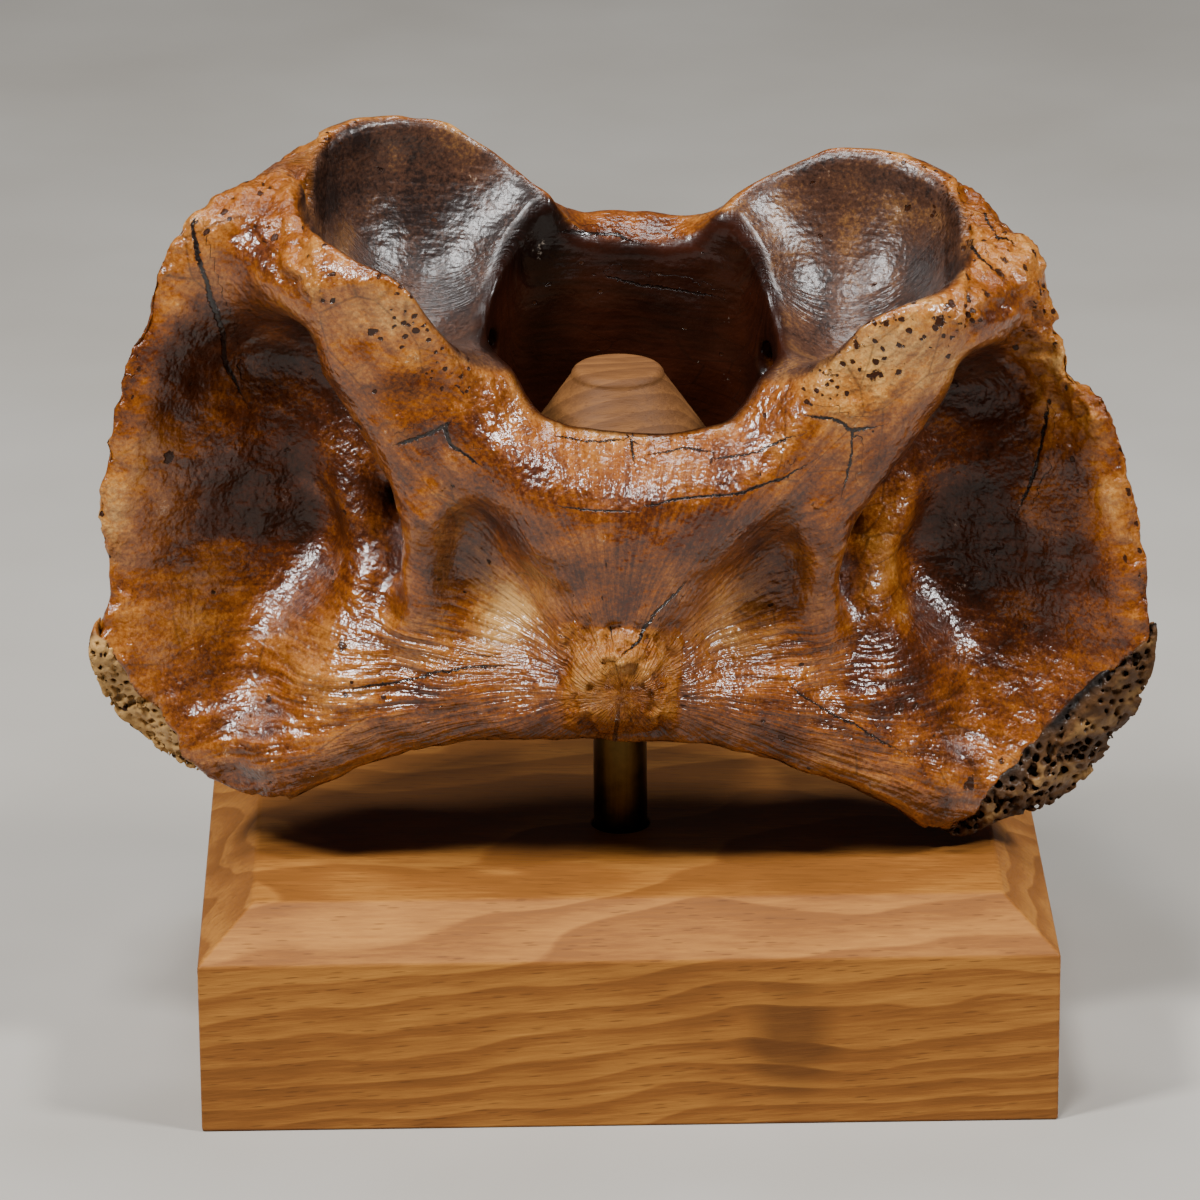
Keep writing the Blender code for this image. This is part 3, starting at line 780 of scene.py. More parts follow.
BROKEN_CORNERS = (
    BrokenCorner("broken_corner_left", Plane((-86, -17.5, -29), (-0.30, -0.90, -0.32)),
                 Plane((-84.8, -15, -32.6), (-0.80, 0.0, -0.60)), 1.25, 2.0, 11, 0.42),
    BrokenCorner("broken_corner_right", Plane((86, -17.5, -28), (0.36, -0.90, -0.25)),
                 Plane((80.5, -15, -30.5), (0.77, 0.0, -0.64)), 1.45, 3.2, 23, 0.0),
)


class Stain(Enum):
    """What a patch of the bone looks like."""

    # Dark stain together with painted shade.
    DARK = "dark"
    GOLD = "gold"
    CHALK = "chalk"


@dataclass(frozen=True)
class Patch:
    """A place on the bone where the ground stained it, wore it or left a deposit, or where shade is
    painted into its colour.
    """

    centre: Triple
    radius: float
    strength: float

    @classmethod
    def spread(cls, kind: Stain, points: Array) -> Array:
        """How far each point lies in the patches of one kind, from 0 to 1.

        Args:
            kind: Which patches.
            points: Places on the surface, n by 3.

        Returns:
            n numbers.
        """
        wander = Noise.fractal(points, 6.0, 3, 31)
        total = np.zeros(len(points))
        for patch in PATCHES[kind]:
            reach = np.linalg.norm(points - patch.centre, axis=1) / patch.radius
            cover = fade(reach + 0.3 * wander, 0.35, 1.15) * patch.strength
            total = np.maximum(total, cover)
        return total


PATCHES = {
    # Dark patches are stain together with painted shade: the upper fossae under the cups' overhang,
    # the hollows beside the ventral arch, the faces under the ventral tubercle and, broad and
    # faint, the whole right side.
    Stain.DARK: (
        Patch((-58, 4, 22), 24, 0.85), Patch((60, 5, 24), 26, 1.0),
        Patch((-82, -2, 32), 17, 0.55), Patch((66, 5, 6), 24, 1.0), Patch((-68, 5, 4), 18, 0.85),
        Patch((85, -1, 6), 17, 0.6), Patch((24, -19, 4), 9, 0.6), Patch((-20, -22, 9), 7, 0.35),
        Patch((70, 0, 0), 60, 0.35), Patch((27, -19, -2), 9, 0.6), Patch((0, -30, -27), 22, 0.6),
        Patch((-40, -22, 38), 8, 0.45), Patch((38, -24, 40), 7, 0.4),
        Patch((-68, 2, -4), 16, 0.35), Patch((1, 34, 50), 22, 0.3)),
    Stain.GOLD: (
        Patch((40, 12, 44), 30, 0.3), Patch((78, 0, 53), 12, 0.9), Patch((-23, -20, -8), 9, 1.0),
        Patch((24, -20, -7), 9, 0.3), Patch((-33, -21, -14), 8, 0.7),
        Patch((-36, -22, 38), 9, 0.3), Patch((50, -20, 49), 13, 0.8),
        Patch((36, -22, 40), 9, 0.4), Patch((80, -1, 45), 12, 0.9),
        Patch((96, -10, 18), 12, 0.9), Patch((-97, -10, 8), 10, 0.7),
        Patch((-60, -12, 62), 12, 0.3), Patch((0, -35, -12), 12, 0.6),
        Patch((50, -3, -4), 14, 0.5), Patch((-72, -3, -12), 14, 0.45),
        Patch((76, -20, -34), 9, 0.6), Patch((0, -24, 27), 14, 0.35),
        Patch((-50, -16, -20), 12, 0.5), Patch((69, 1, 60), 13, 0.8)),
    Stain.CHALK: (
        Patch((60.8, 8.3, 10.8), 4, 0.5), Patch((66, 3.1, -10.7), 5, 0.7),
        Patch((-45.1, 0, 2), 5, 0.6), Patch((-48.5, 0.3, -6.6), 6, 0.7),
        Patch((53.5, 1.3, -10.4), 6, 0.6), Patch((-44.6, 24, 47.7), 5, 0.5)),
}


@dataclass(frozen=True)
class WornPlace:
    """A rounded region of the bone whose cortex is worn rough."""

    centre: Triple
    radii: Triple

    def share(self, points: Array) -> Array:
        """How far each of n points lies in it, from 0 to 1."""
        reach = np.linalg.norm((points - self.centre) / np.array(self.radii), axis=1)
        return fade(reach, 0.5, 1.0)


CREST = WornPlace((82.0, -1.0, 42.0), (17.0, 17.0, 24.0))
CORNER = WornPlace((-64.0, -6.0, 61.0), (14.0, 16.0, 10.0))
BOSSES = (WornPlace((-41.0, -23.0, 38.0), (8.0, 9.0, 11.0)),
          WornPlace((39.0, -22.5, 44.0), (11.0, 9.0, 9.0)))


class BoneMasks:
    """Numbers on a bone mesh that tell its finish what each place is."""

    NAMES = ("cup", "canal", "recess", "ridge", "porous", "worn", "cloud", "blotch", "spongy",
             "airing", "dark", "gold", "chalk", "crack_offset", "crack_width", "fibre", "strip")
    HOLLOW_SHADE_REACHES = (4.0, 9.0, 16.0)
    SOLID_REACHES = (2.5, 5.0)
    CRACK_REACH = 2.5
    CRACK_STEP = 3.0
    CRACK_ROUNDS = 8
    FIBRE_CENTRE = (0.0, -14.0)
    FIBRE_ARM = 40.0

    def __init__(self, form: AtlasForm) -> None:
        """Keep the form that the masks are read from."""
        self.form = form

    def apply(self, mesh: bpy.types.Mesh, spongy: Array | None = None,
              airing: Array | None = None) -> None:
        """Store every mask on a mesh whose points are in the bone's frame.

        Args:
            mesh: The mesh.
            spongy: How spongy each point is, from 0 to 1, or None for not at all.
            airing: How light the sponge is at each point, or None where there is none.
        """
        form = self.form
        points = Shop.coordinates(mesh)
        spot = (np.abs(points[:, 0]), points[:, 1], points[:, 2])
        normal = unit(form.slope(points))
        bowl = form.bowl(*spot)
        # How hemmed in by the bone's own surface each point is: the tone darkens there as painted
        # shade in the hollows.
        hollow_openness = [np.clip(form.at(points + normal * reach) / reach, 0.0, 1.0)
                      for reach in self.HOLLOW_SHADE_REACHES]
        solid_parts = [np.clip(-form.at(points - normal * reach) / reach, 0.0, 1.0)
                       for reach in self.SOLID_REACHES]
        strip = np.maximum(fade(np.abs(form.strip_outer.distance(*spot)), 2.0, 9.0),
                           fade(np.abs(form.strip_inner.distance(*spot)), 2.0, 8.0))
        outer = 1.0 - 0.8 * fade(spot[0], 14.0, 34.0)
        none = np.zeros(len(points))
        offset, width = self.cracks(points, normal)
        marks = {kind.value: Patch.spread(kind, points) for kind in Stain} | {
            "cup": fade(np.abs(bowl) + 0.5 * Noise.fractal(points, 7.0, 2, 3), 0.7, 2.2),
            "canal": fade(np.abs(form.canal(*spot)), 1.0, 3.0),
            "recess": 1.0 - sum(hollow_openness) / len(hollow_openness),
            "ridge": 1.0 - sum(solid_parts) / len(solid_parts),
            "porous": self.porous(points, bowl),
            "worn": self.worn(points),
            "cloud": 0.5 + 0.22 * Noise.fractal(points, 17.0, 4, 61),
            "blotch": 0.5 + 0.24 * Noise.fractal(points, 4.5, 3, 67),
            "spongy": none if spongy is None else spongy,
            "airing": none if airing is None else airing,
            "crack_offset": offset,
            "crack_width": width,
            "fibre": self.fibre(points) * MM,
            "strip": strip * fade(spot[1], -8.0, 2.0) * outer,
        }
        for name in self.NAMES:
            Shop.mark(mesh, name, marks[name])

    @classmethod
    def fibre(cls, points: Array) -> Array:
        """Place along and across the bone's fibres, which fan out from the ventral tubercle and run
        from side to side on the dorsal part.

        Args:
            points: Places on the surface, n by 3.

        Returns:
            Distance from the tubercle, turn round it as a length, and depth, in mm, n by 3.
        """
        bent = [axis + 0.7 * Noise.fractal(points, 12.0, 2, seed)
                for axis, seed in zip(points.T, (71, 73, 79))]
        x, y, z = bent
        run, rise = x - cls.FIBRE_CENTRE[0], z - cls.FIBRE_CENTRE[1]
        fanned = np.stack([np.hypot(run, rise), np.arctan2(run, rise) * cls.FIBRE_ARM, 0.4 * y])
        across = fade(y, 12.0, 22.0)
        return (across * fanned + (1.0 - across) * np.stack([x, z, y])).T

    def porous(self, points: Array, bowl: Array) -> Array:
        """Where the cortex is worn to fine pores: cup lips, wing margins and the tubercle."""
        form = self.form
        x, y, z = points.T
        wander = Noise.fractal(points, 6.0, 3, 5)
        lip = fade(np.abs(bowl - 3.5) + 1.5 * wander, 2.5, 5.5)
        right_lip = lip * fade(np.abs(x - 48.0), 12.0, 20.0) * fade(y, -4.0, 4.0)
        left_lip = lip * fade(np.abs(x + 38.0), 8.0, 14.0) * fade(y, -10.0, -2.0)
        margin = fade(-form.margin(x, z) + 2.0 * wander, 1.5, 5.0) * (np.abs(x) > 55.0)
        low = fade(z, -8.0, 20.0) * 0.75
        worn = np.where(x > 0.0, 0.5, 0.3) * margin * np.maximum(1.0 - low, 0.25)
        return np.clip(np.maximum.reduce([right_lip, 0.6 * left_lip, worn]), 0.0, 1.0)

    def worn(self, points: Array) -> Array:
        """Where the surface is rough and dull: the tubercle, the wing margins and the right
        wing's cranial ridge."""
        form = self.form
        x, y, z = points.T
        wander = Noise.fractal(points, 5.0, 3, 83)
        tubercle = fade(form.ventral_tubercle.distance(x, y, z) + 0.8 * wander, 0.4, 2.2)
        margin = fade(-form.margin(x, z) + 1.5 * wander, 1.0, 4.5) * (np.abs(x) > 58.0)
        return np.maximum.reduce([tubercle * fade(y, -26.0, -20.0), 0.8 * margin,
                                  CREST.share(points)]
                                 + [0.7 * boss.share(points) for boss in BOSSES])

    def on_surface(self, line: Array) -> Array:
        """A crack's line with points in short steps, each moved to the bone's surface.

        Args:
            line: Its points, n by 3.

        Returns:
            More points.
        """
        fine = [line[:1]]
        for start, end in zip(line[:-1], line[1:]):
            count = int(np.ceil(np.linalg.norm(end - start) / self.CRACK_STEP))
            fine.append(start + (end - start) * (np.arange(1, count + 1) / count)[:, None])
        fine = np.concatenate(fine)
        for _ in range(self.CRACK_ROUNDS):
            fine -= self.form.misses(fine)[2]
        return fine

    def cracks(self, points: Array, normal: Array) -> tuple[Array, Array]:
        """Sideways distance to the nearest crack and half its width there, in mm.

        The distance changes sign across the crack, so that a finish can draw the line finer than
        the mesh.

        Args:
            points: Places on the surface, n by 3.
            normal: The surface's directions there, n by 3.

        Returns:
            The offsets and the half widths, n each.
        """
        offset = np.full(len(points), self.CRACK_REACH)
        width = np.zeros(len(points))
        nearest = np.full(len(points), self.CRACK_REACH)
        for crack in CRACKS:
            line = self.on_surface(np.array(crack.points, float))
            lengths = np.linalg.norm(np.diff(line, axis=0), axis=1)
            travelled = np.concatenate([[0.0], np.cumsum(lengths)])
            box_low, box_high = line.min(0) - self.CRACK_REACH, line.max(0) + self.CRACK_REACH
            near = np.flatnonzero(((points > box_low) & (points < box_high)).all(axis=1))
            for start, end, at, length in zip(line[:-1], line[1:], travelled, lengths):
                along = (end - start) / length
                offsets = points[near] - start
                part = offsets @ along
                held = np.clip(part, 0.0, length)
                reach = np.linalg.norm(offsets - held[:, None] * along, axis=1)
                closer = reach < nearest[near]
                chosen = near[closer]
                across = unit(np.cross(along, normal[chosen]))
                nearest[chosen] = reach[closer]
                offset[chosen] = (offsets[closer] * across).sum(axis=1)
                share = (at + part[closer]) / travelled[-1]
                ends = fade(np.abs(share - 0.45), 0.38, 0.56)
                width[chosen] = crack.half_width * ends
        return np.clip(offset, -self.CRACK_REACH, self.CRACK_REACH), width


@dataclass(frozen=True)
class BoneSkin:
    """The bone's fine surface, which stands for its plain solid."""

    form: AtlasForm
    pose: Pose
    box: Box
    step_mm: float = 0.8
    triangles: int = 198000
    settle_rounds: int = 2
    settle_steps: float = 0.3
    cut_steps: float = 0.8
    corners_beyond_x: float = 55.0
    corners_below_z: float = 10.0

    def build(self) -> bpy.types.Object:
        """Mesh the form on a fine grid, give it its relief and mark it.

        Returns:
            The bone, in the shared frame.
        """
        form = self.form
        axes = [np.arange(low, high + self.step_mm, self.step_mm, dtype=np.float32)
                for low, high in zip(form.low, form.high)]
        values = form.distance(axes[0][:, None, None], axes[1][None, :, None],
                               axes[2][None, None, :])
        self.cut_corners(values, axes)
        net = NetMesher(values, form.low, self.step_mm)
        points, numbers = net.points()
        faces = net.quads(numbers)
        points, slope = self.settled(points)
        points = points + slope * self.relief(points)[:, None]
        piece = Shop.thinned(Shop.from_arrays("atlas_bone", points, faces), self.triangles)
        BoneMasks(form).apply(piece.data)
        return self.pose.take(piece, self.box)

    def cut_corners(self, values: Array, axes: list[Array]) -> None:
        """Take the broken wing corners off a block of distances, in place."""
        for corner in BROKEN_CORNERS:
            way = np.sign(corner.face.point[0])
            near = np.flatnonzero(axes[0] * way > self.corners_beyond_x)
            low = np.flatnonzero(axes[2] < self.corners_below_z)
            grid = block_of(axes[0][near], axes[1], axes[2][low])
            beyond = corner.border_at(grid.reshape(-1, 3).astype(float)).reshape(grid.shape[:3])
            block = np.ix_(near, np.arange(len(axes[1])), low)
            values[block] = np.maximum(values[block], beyond)

    def settled(self, points: Array) -> tuple[Array, Array]:
        """Move points onto the form's surface, but not those on the broken corners' cuts.

        Returns:
            The points and the surface's unit directions there.
        """
        reach = self.settle_steps * self.step_mm
        for _ in range(self.settle_rounds):
            level, slope, move = self.form.misses(points)
            move[np.abs(level) > self.cut_steps * self.step_mm] = 0.0
            points = points - np.clip(move, -reach, reach)
        return points, unit(slope)

    def relief(self, points: Array) -> Array:
        """Height of the worn surface above the smooth form, in mm."""
        form = self.form
        x, y, z = points.T
        side = np.abs(x)
        cup = fade(np.abs(form.bowl(side, y, z)), 0.7, 2.5)
        canal = fade(np.abs(form.canal(side, y, z)), 1.0, 3.0)
        calm = 1.0 - 0.8 * np.maximum(cup, 0.6 * canal)
        height = calm * (0.55 * Noise.smooth(points, 13.0, 1) + 0.42 * Noise.smooth(points, 6.0, 2)
                         + 0.24 * Noise.smooth(points, 2.8, 4) - 0.40)
        fibre = BoneMasks.fibre(points)
        folds = Noise.smooth(fibre, (16.0, 3.4, 12.0), 12)
        height += calm * 0.28 * folds * (1.0 - 0.7 * fade(side, 12.0, 24.0))
        margin = fade(-form.margin(x, z), 2.5, 8.0) * (side > 60.0)
        notches = np.abs(Noise.fractal(points, 7.0, 3, 6))
        height -= margin * (0.4 + 1.6 * notches) * np.where(x > 0.0, 1.25, 0.9)
        rough = fade(form.ventral_tubercle.distance(x, y, z), 1.0, 4.0) * fade(y, -24.0, -20.0)
        crumbs = Noise.nearest_cell(points, 2.4, 7)
        blocks = np.round(1.6 * Noise.fractal(points, 5.5, 2, 8)) / 1.6
        upper = fade(-z, -1.0, 12.0)
        height -= rough * ((0.4 + 1.6 * upper) * fade(crumbs, 0.3, 1.4) + 1.2 * np.abs(blocks)
                           + 0.8 * upper)
        height += CREST.share(points) * (1.5 * Noise.fractal(points, 4.2, 3, 9) - 1.0
                                         - 0.9 * np.abs(Noise.fractal(points, 2.6, 2, 13)))
        height += CORNER.share(points) * (0.8 * Noise.fractal(points, 5.0, 3, 19) - 0.6)
        for boss in BOSSES:
            height += boss.share(points) * (0.5 * Noise.fractal(points, 3.5, 3, 23) - 0.2)
        return np.clip(height, -3.2, 0.9)


@dataclass(frozen=True)
class SpongyCorner:
    """A broken wing corner, on a grid fine enough for the pores of its spongy bone."""

    form: AtlasForm
    pose: Pose
    box: Box
    corner: BrokenCorner
    triangles: int = 190000
    sponge_blend_mm: float = 1.5
    cortex_mm: float = 1.2
    # How much paler the sponge is at the broken face than deep in its pores, as painted shade.
    painted_pore_shade: float = 0.36
    search_step_mm: float = 1.5
    search_depths_mm: Pair = (-30.0, 3.0)
    spare_mm: float = 2.0

    def build(self) -> bpy.types.Object:
        """Mesh the corner beyond the cortex, with pores that open on its broken face.

        Returns:
            The corner, in the shared frame.
        """
        corner = self.corner
        turn = self.frame_of_face()
        low, high = self.extent(turn)
        step = corner.voxel_mm
        axes = [np.arange(a, b + step, step) for a, b in zip(low, high)]
        grid = block_of(*axes)
        shape = grid.shape[:3]
        points = grid.reshape(-1, 3) @ turn + corner.face.point
        values = self.field(points).reshape(shape)
        for axis in range(3):
            edge = [slice(None)] * 3
            for end in (0, -1):
                edge[axis] = end
                values[tuple(edge)] = np.maximum(values[tuple(edge)], step)
        net = NetMesher(values, tuple(low), step)
        placed, numbers = net.points()
        placed = placed @ turn + corner.face.point
        piece = Shop.from_arrays(corner.name, placed, net.quads(numbers))
        Shop.thinned(piece, self.triangles)
        placed = Shop.coordinates(piece.data)
        depth = -self.broken_face(placed)
        cortex = -self.form.at(placed)
        spongy = fade(depth, corner.pore_depth_mm, corner.pore_depth_mm + self.sponge_blend_mm)
        spongy = np.maximum(spongy, smooth_step(cortex / self.cortex_mm))
        # Paler at the broken face and darker deeper in the pores: painted shade in the pores, over
        # each corner's own paleness.
        near_broken_face = 1.0 - np.clip(depth / corner.pore_depth_mm, 0.0, 1.0)
        airing = near_broken_face * self.painted_pore_shade + corner.paleness
        BoneMasks(self.form).apply(piece.data, spongy, airing)
        return self.pose.take(piece, self.box)

    def frame_of_face(self) -> Array:
        """Rows are two directions along the broken face and its normal."""
        normal = self.corner.face.unit()
        along = np.cross(normal, (0.0, 1.0, 0.0))
        along /= np.linalg.norm(along)
        return np.stack([along, np.cross(normal, along), normal])

    def extent(self, turn: Array) -> tuple[Array, Array]:
        """Low and high corners of the block that holds the corner, in the face's frame."""
        step = self.search_step_mm
        coarse = np.arange(-self.corner.reach_mm, self.corner.reach_mm, step)
        flat = block_of(coarse, coarse, np.arange(*self.search_depths_mm, step)).reshape(-1, 3)
        points = flat @ turn + self.corner.face.point
        solid = (self.form.at(points) < 0.0) & (self.corner.border_at(points) > -1.0)
        solid &= self.corner.face.distance(*points.T) < 1.0
        held = flat[solid]
        return held.min(0) - self.spare_mm, held.max(0) + self.spare_mm

    def broken_face(self, points: Array) -> Array:
        """Height above the uneven broken face."""
        flat = self.corner.face.distance(*points.T)
        return flat + 1.1 + 1.3 * Noise.fractal(points, 8.0, 3, self.corner.pore_seed)

    def field(self, points: Array) -> Array:
        """Distance to the corner, with its pores taken out."""
        corner = self.corner
        face = self.broken_face(points)
        solid = cut_smooth(self.form.at(points), face, 0.8)
        solid = np.maximum(solid, -corner.border_at(points) - corner.overlap_mm)
        size = corner.pore_mm
        stretch = points * (1.0, 0.8, 0.85)
        bubble = Noise.nearest_cell(stretch, size, corner.pore_seed + 7)
        crowded = (0.46 + 0.14 * Noise.smooth(points, 4.0, corner.pore_seed + 9)
                   + 0.10 * Noise.smooth(points, 1.6, corner.pore_seed + 10))
        pore = size * crowded - bubble
        pore = np.minimum(pore, corner.pore_depth_mm + face)
        return np.maximum(solid, pore)


# Materials


def linear(colour: str) -> tuple[float, float, float, float]:
    """Turn an sRGB hex colour into the linear one that shaders use.

    Args:
        colour: Six hex digits after a hash sign.

    Returns:
        Red, green, blue and an alpha of 1.
    """
    parts = [int(colour[i:i + 2], 16) / 255.0 for i in (1, 3, 5)]
    red, green, blue = (p / 12.92 if p <= 0.04045 else ((p + 0.055) / 1.055) ** 2.4 for p in parts)
    return red, green, blue, 1.0


def per_mm(size: float) -> float:
    """Scale of a pattern on coordinates in metres whose features are this many mm apart."""
    return 1.0 / (size * MM)


def add_node(tree: bpy.types.NodeTree, kind: str, inputs: dict | None = None,
             stops: Stops = (), **settings: object) -> bpy.types.Node:
    """Add one node with its settings and links.

    Args:
        tree: The tree that it goes into.
        kind: Blender's name for the node.
        inputs: For each socket's name or number, a value, or a socket to link from.
        stops: Positions and sRGB hex colours, for a colour ramp.
        **settings: The node's own properties.

    Returns:
        The node.
    """
    node = tree.nodes.new(kind)
    for name, value in settings.items():
        setattr(node, name, value)
    for key, value in (inputs or {}).items():
        if isinstance(value, bpy.types.NodeSocket):
            tree.links.new(value, node.inputs[key])
        else:
            node.inputs[key].default_value = value
    if stops:
        ramp = node.color_ramp
        while len(ramp.elements) < len(stops):
            ramp.elements.new(0.5)
        for element, (position, colour) in zip(ramp.elements, stops):
            element.position = position
            element.color = linear(colour)
    return node


class Wiring:
    """One node tree, with short ways to add the nodes that are used most."""

    def __init__(self, tree: bpy.types.NodeTree) -> None:
        """Keep the tree, and a place for the outputs that several parts of it share."""
        self.tree = tree
        self.has: dict[str, Socket] = {}

    def calc(self, operation: str, *values: float | Socket) -> Socket:
        """Result of one Math node."""
        return add_node(self.tree, "ShaderNodeMath", dict(enumerate(values)),
                        operation=operation).outputs[0]

    def total(self, base: float, **weights: float) -> Socket:
        """Add up shared outputs times their weights.

        Args:
            base: What the sum starts from.
            **weights: A weight for each output's name.

        Returns:
            The sum.
        """
        for name, weight in weights.items():
            base = self.calc("MULTIPLY_ADD", self.has[name], weight, base)
        return base

    def laid(self, place: Socket, *sizes: float) -> Socket:
        """A place in units of these three sizes in mm."""
        return add_node(self.tree, "ShaderNodeMapping",
                        {"Vector": place, "Scale": [per_mm(size) for size in sizes]}).outputs[0]

    def noise(self, place: Socket, scale: float = 1.0, detail: float = 2.0,
              roughness: float = 0.5) -> Socket:
        """A noise from 0 to 1."""
        return add_node(self.tree, "ShaderNodeTexNoise",
                        {"Vector": place, "Scale": scale, "Detail": detail,
                         "Roughness": roughness}).outputs[0]

    def cells(self, place: Socket, **settings: object) -> bpy.types.Node:
        """A pattern of cells about one unit across."""
        return add_node(self.tree, "ShaderNodeTexVoronoi", {"Vector": place, "Scale": 1.0},
                        **settings)

    def remap(self, value: Socket, low: float = 0.0, high: float = 1.0, start: float = 0.0,
              end: float = 1.0, **settings: object) -> Socket:
        """Take low to start and high to end, and hold the result between them."""
        return add_node(self.tree, "ShaderNodeMapRange",
                        {"Value": value, "From Min": low, "From Max": high, "To Min": start,
                         "To Max": end}, **settings).outputs[0]

    def ramp(self, value: Socket, *stops: tuple[float, str]) -> Socket:
        """A colour between those at the stops."""
        return add_node(self.tree, "ShaderNodeValToRGB", {"Fac": value}, stops).outputs[0]

    def mix(self, factor: Socket, first: Socket, second: Socket | str) -> Socket:
        """A colour between a first one and a second one, which may be a hex colour."""
        second = linear(second) if isinstance(second, str) else second
        return add_node(self.tree, "ShaderNodeMix", {"Factor": factor, 6: first, 7: second},
                        data_type="RGBA").outputs[2]


class Finish(Wiring):
    """A material with its node tree, its Principled shader and its coordinates."""

    def __init__(self, name: str) -> None:
        """Make the empty material.

        Args:
            name: The real finish, in a maker's words.
        """
        self.material = bpy.data.materials.new(name)
        self.material.use_nodes = True
        super().__init__(self.material.node_tree)
        self.shader = self.tree.nodes["Principled BSDF"]
        self.place = add_node(self.tree, "ShaderNodeTexCoord").outputs["Object"]

    def link(self, output: Socket, socket: str) -> None:
        """Link an output to one of the shader's sockets."""
        self.tree.links.new(output, self.shader.inputs[socket])

    def hold(self, **values: float) -> None:
        """Set the shader's uniform numbers, by socket names with _ for spaces."""
        for name, value in values.items():
            self.shader.inputs[name.replace("_", " ")].default_value = value

    def bump(self, height: Socket, distance_mm: float) -> Socket:
        """Raise the surface by a height times a distance, and return the normal."""
        normal = add_node(self.tree, "ShaderNodeBump", {"Height": height, "Strength": 1.0,
                                                        "Distance": distance_mm * MM}).outputs[0]
        self.link(normal, "Normal")
        return normal


@dataclass(frozen=True)
class VarnishedBone:
    """Old bone, stained brown in the ground and brushed with clear varnish.

    Painted shade darkens the tone in the hollows, the upper fossae, beside the ventral arch and in
    the neural canal, over the brown stain, which thins on the ridges. The varnish gives a hard
    gloss that the fine grain breaks up.
    """

    deep_stain_and_shade: str = "#2b1204"
    stain: str = "#4a2008"
    amber: str = "#7b410e"
    tan: str = "#a0662b"
    pale: str = "#c59453"
    cup_dark: str = "#1e120e"
    cup_grey: str = "#482d1f"
    cup_yellow: str = "#7a5229"
    # The canal's dark red-brown is darkened further as painted shade inside the neural canal.
    canal_painted_shade: str = "#100502"
    canal_red_shaded: str = "#371609"
    sponge_dark: str = "#120a05"
    sponge_brown: str = "#543619"
    sponge_tan: str = "#b08850"
    pit_dark: str = "#33190a"
    crack_dark: str = "#150904"
    deposit: str = "#b5a797"
    specular: float = 0.2
    coat_ior: float = 1.5
    coat_roughness: float = 0.14
    coat_evenness: float = 0.2
    small_pits_mm: float = 0.9
    large_pits_mm: float = 1.7

    def make(self) -> bpy.types.Material:
        """Build the material.

        Returns:
            It, ready to assign.
        """
        finish = Finish("varnished_old_bone_with_painted_shade")
        self.patterns(finish)
        finish.has["pits"] = self.pits(finish)
        finish.has["crack"] = self.crack(finish)
        finish.has["hairlines"] = self.hairlines(finish)
        colour = self.stained(finish)
        for name, dark in (("pits", self.pit_dark), ("hairlines", self.crack_dark),
                           ("crack", self.crack_dark)):
            colour = finish.mix(finish.has[name], colour, dark)
        finish.link(self.dusted(finish, colour), "Base Color")
        finish.link(finish.total(0.20, speck=0.25, spongy=0.3), "Roughness")
        self.relief(finish)
        dull = finish.total(1.0, dark=-0.75, canal=-0.65, spongy=-0.6, worn=-0.75, pits=-0.6,
                            cup=-0.35)
        finish.link(finish.remap(dull), "Coat Weight")
        finish.link(finish.total(self.coat_roughness, cup=0.18), "Coat Roughness")
        finish.hold(Coat_IOR=self.coat_ior, Specular_IOR_Level=self.specular)
        return finish.material

    @staticmethod
    def patterns(finish: Finish) -> None:
        """Read the mesh's marks and make the noises that several parts of the finish share."""
        has = finish.has
        for name in BoneMasks.NAMES:
            mark = add_node(finish.tree, "ShaderNodeAttribute", attribute_name=name)
            has[name] = mark.outputs["Vector" if name == "fibre" else "Fac"]
        has["speck"] = finish.noise(finish.place, per_mm(0.8), 2.5, 0.8)
        has["grain"] = finish.noise(finish.place, per_mm(1.5), 1.5, 0.55)
        has["wrinkles"] = finish.noise(finish.laid(has["fibre"], 6.0, 2.4, 5.0))
        strands = finish.noise(finish.laid(has["fibre"], 12.0, 1.0, 6.0))
        has["strands"] = add_node(finish.tree, "ShaderNodeMix",
                                  {"Factor": has["worn"], "A": strands, "B": 0.5}).outputs[0]

    def stained(self, finish: Finish) -> Socket:
        """Colour of cortex, cups, canal and sponge, before anything lies on them."""
        # The hollow mask and the dark patches paint shade into the tone; cloud, blotch, speck,
        # strands, wear and gold are the bone's own colour.
        tone = finish.total(-0.415, cloud=0.54, blotch=0.44, speck=0.58, strands=0.24,
                            recess=-0.24, ridge=0.24, worn=0.14, dark=-0.22, gold=0.24)
        cortex = finish.ramp(tone, (0.10, self.deep_stain_and_shade), (0.34, self.stain), (0.53, self.amber),
                             (0.72, self.tan), (0.94, self.pale))
        streak = finish.remap(finish.has["strands"], 0.36, 0.60, 0.58, 1.18)
        share = finish.total(0.35, strip=0.65, worn=-0.3)
        streaked = add_node(finish.tree, "ShaderNodeMix", {"Factor": share, "A": 1.0, "B": streak})
        colour = add_node(finish.tree, "ShaderNodeVectorMath",
                          {0: cortex, "Scale": streaked.outputs[0]}, operation="SCALE").outputs[0]
        cup_tone = finish.total(-0.64, speck=0.8, blotch=0.6, cloud=0.7, gold=0.45)
        cup = finish.ramp(cup_tone, (0.30, self.cup_dark), (0.56, self.cup_grey),
                          (0.82, self.cup_yellow))
        # Near-black canal colours: painted shade inside the neural canal over its dark red-brown.
        canal = finish.ramp(finish.total(0.0, strands=0.25, cloud=0.75), (0.40, self.canal_painted_shade),
                            (0.72, self.canal_red_shaded))
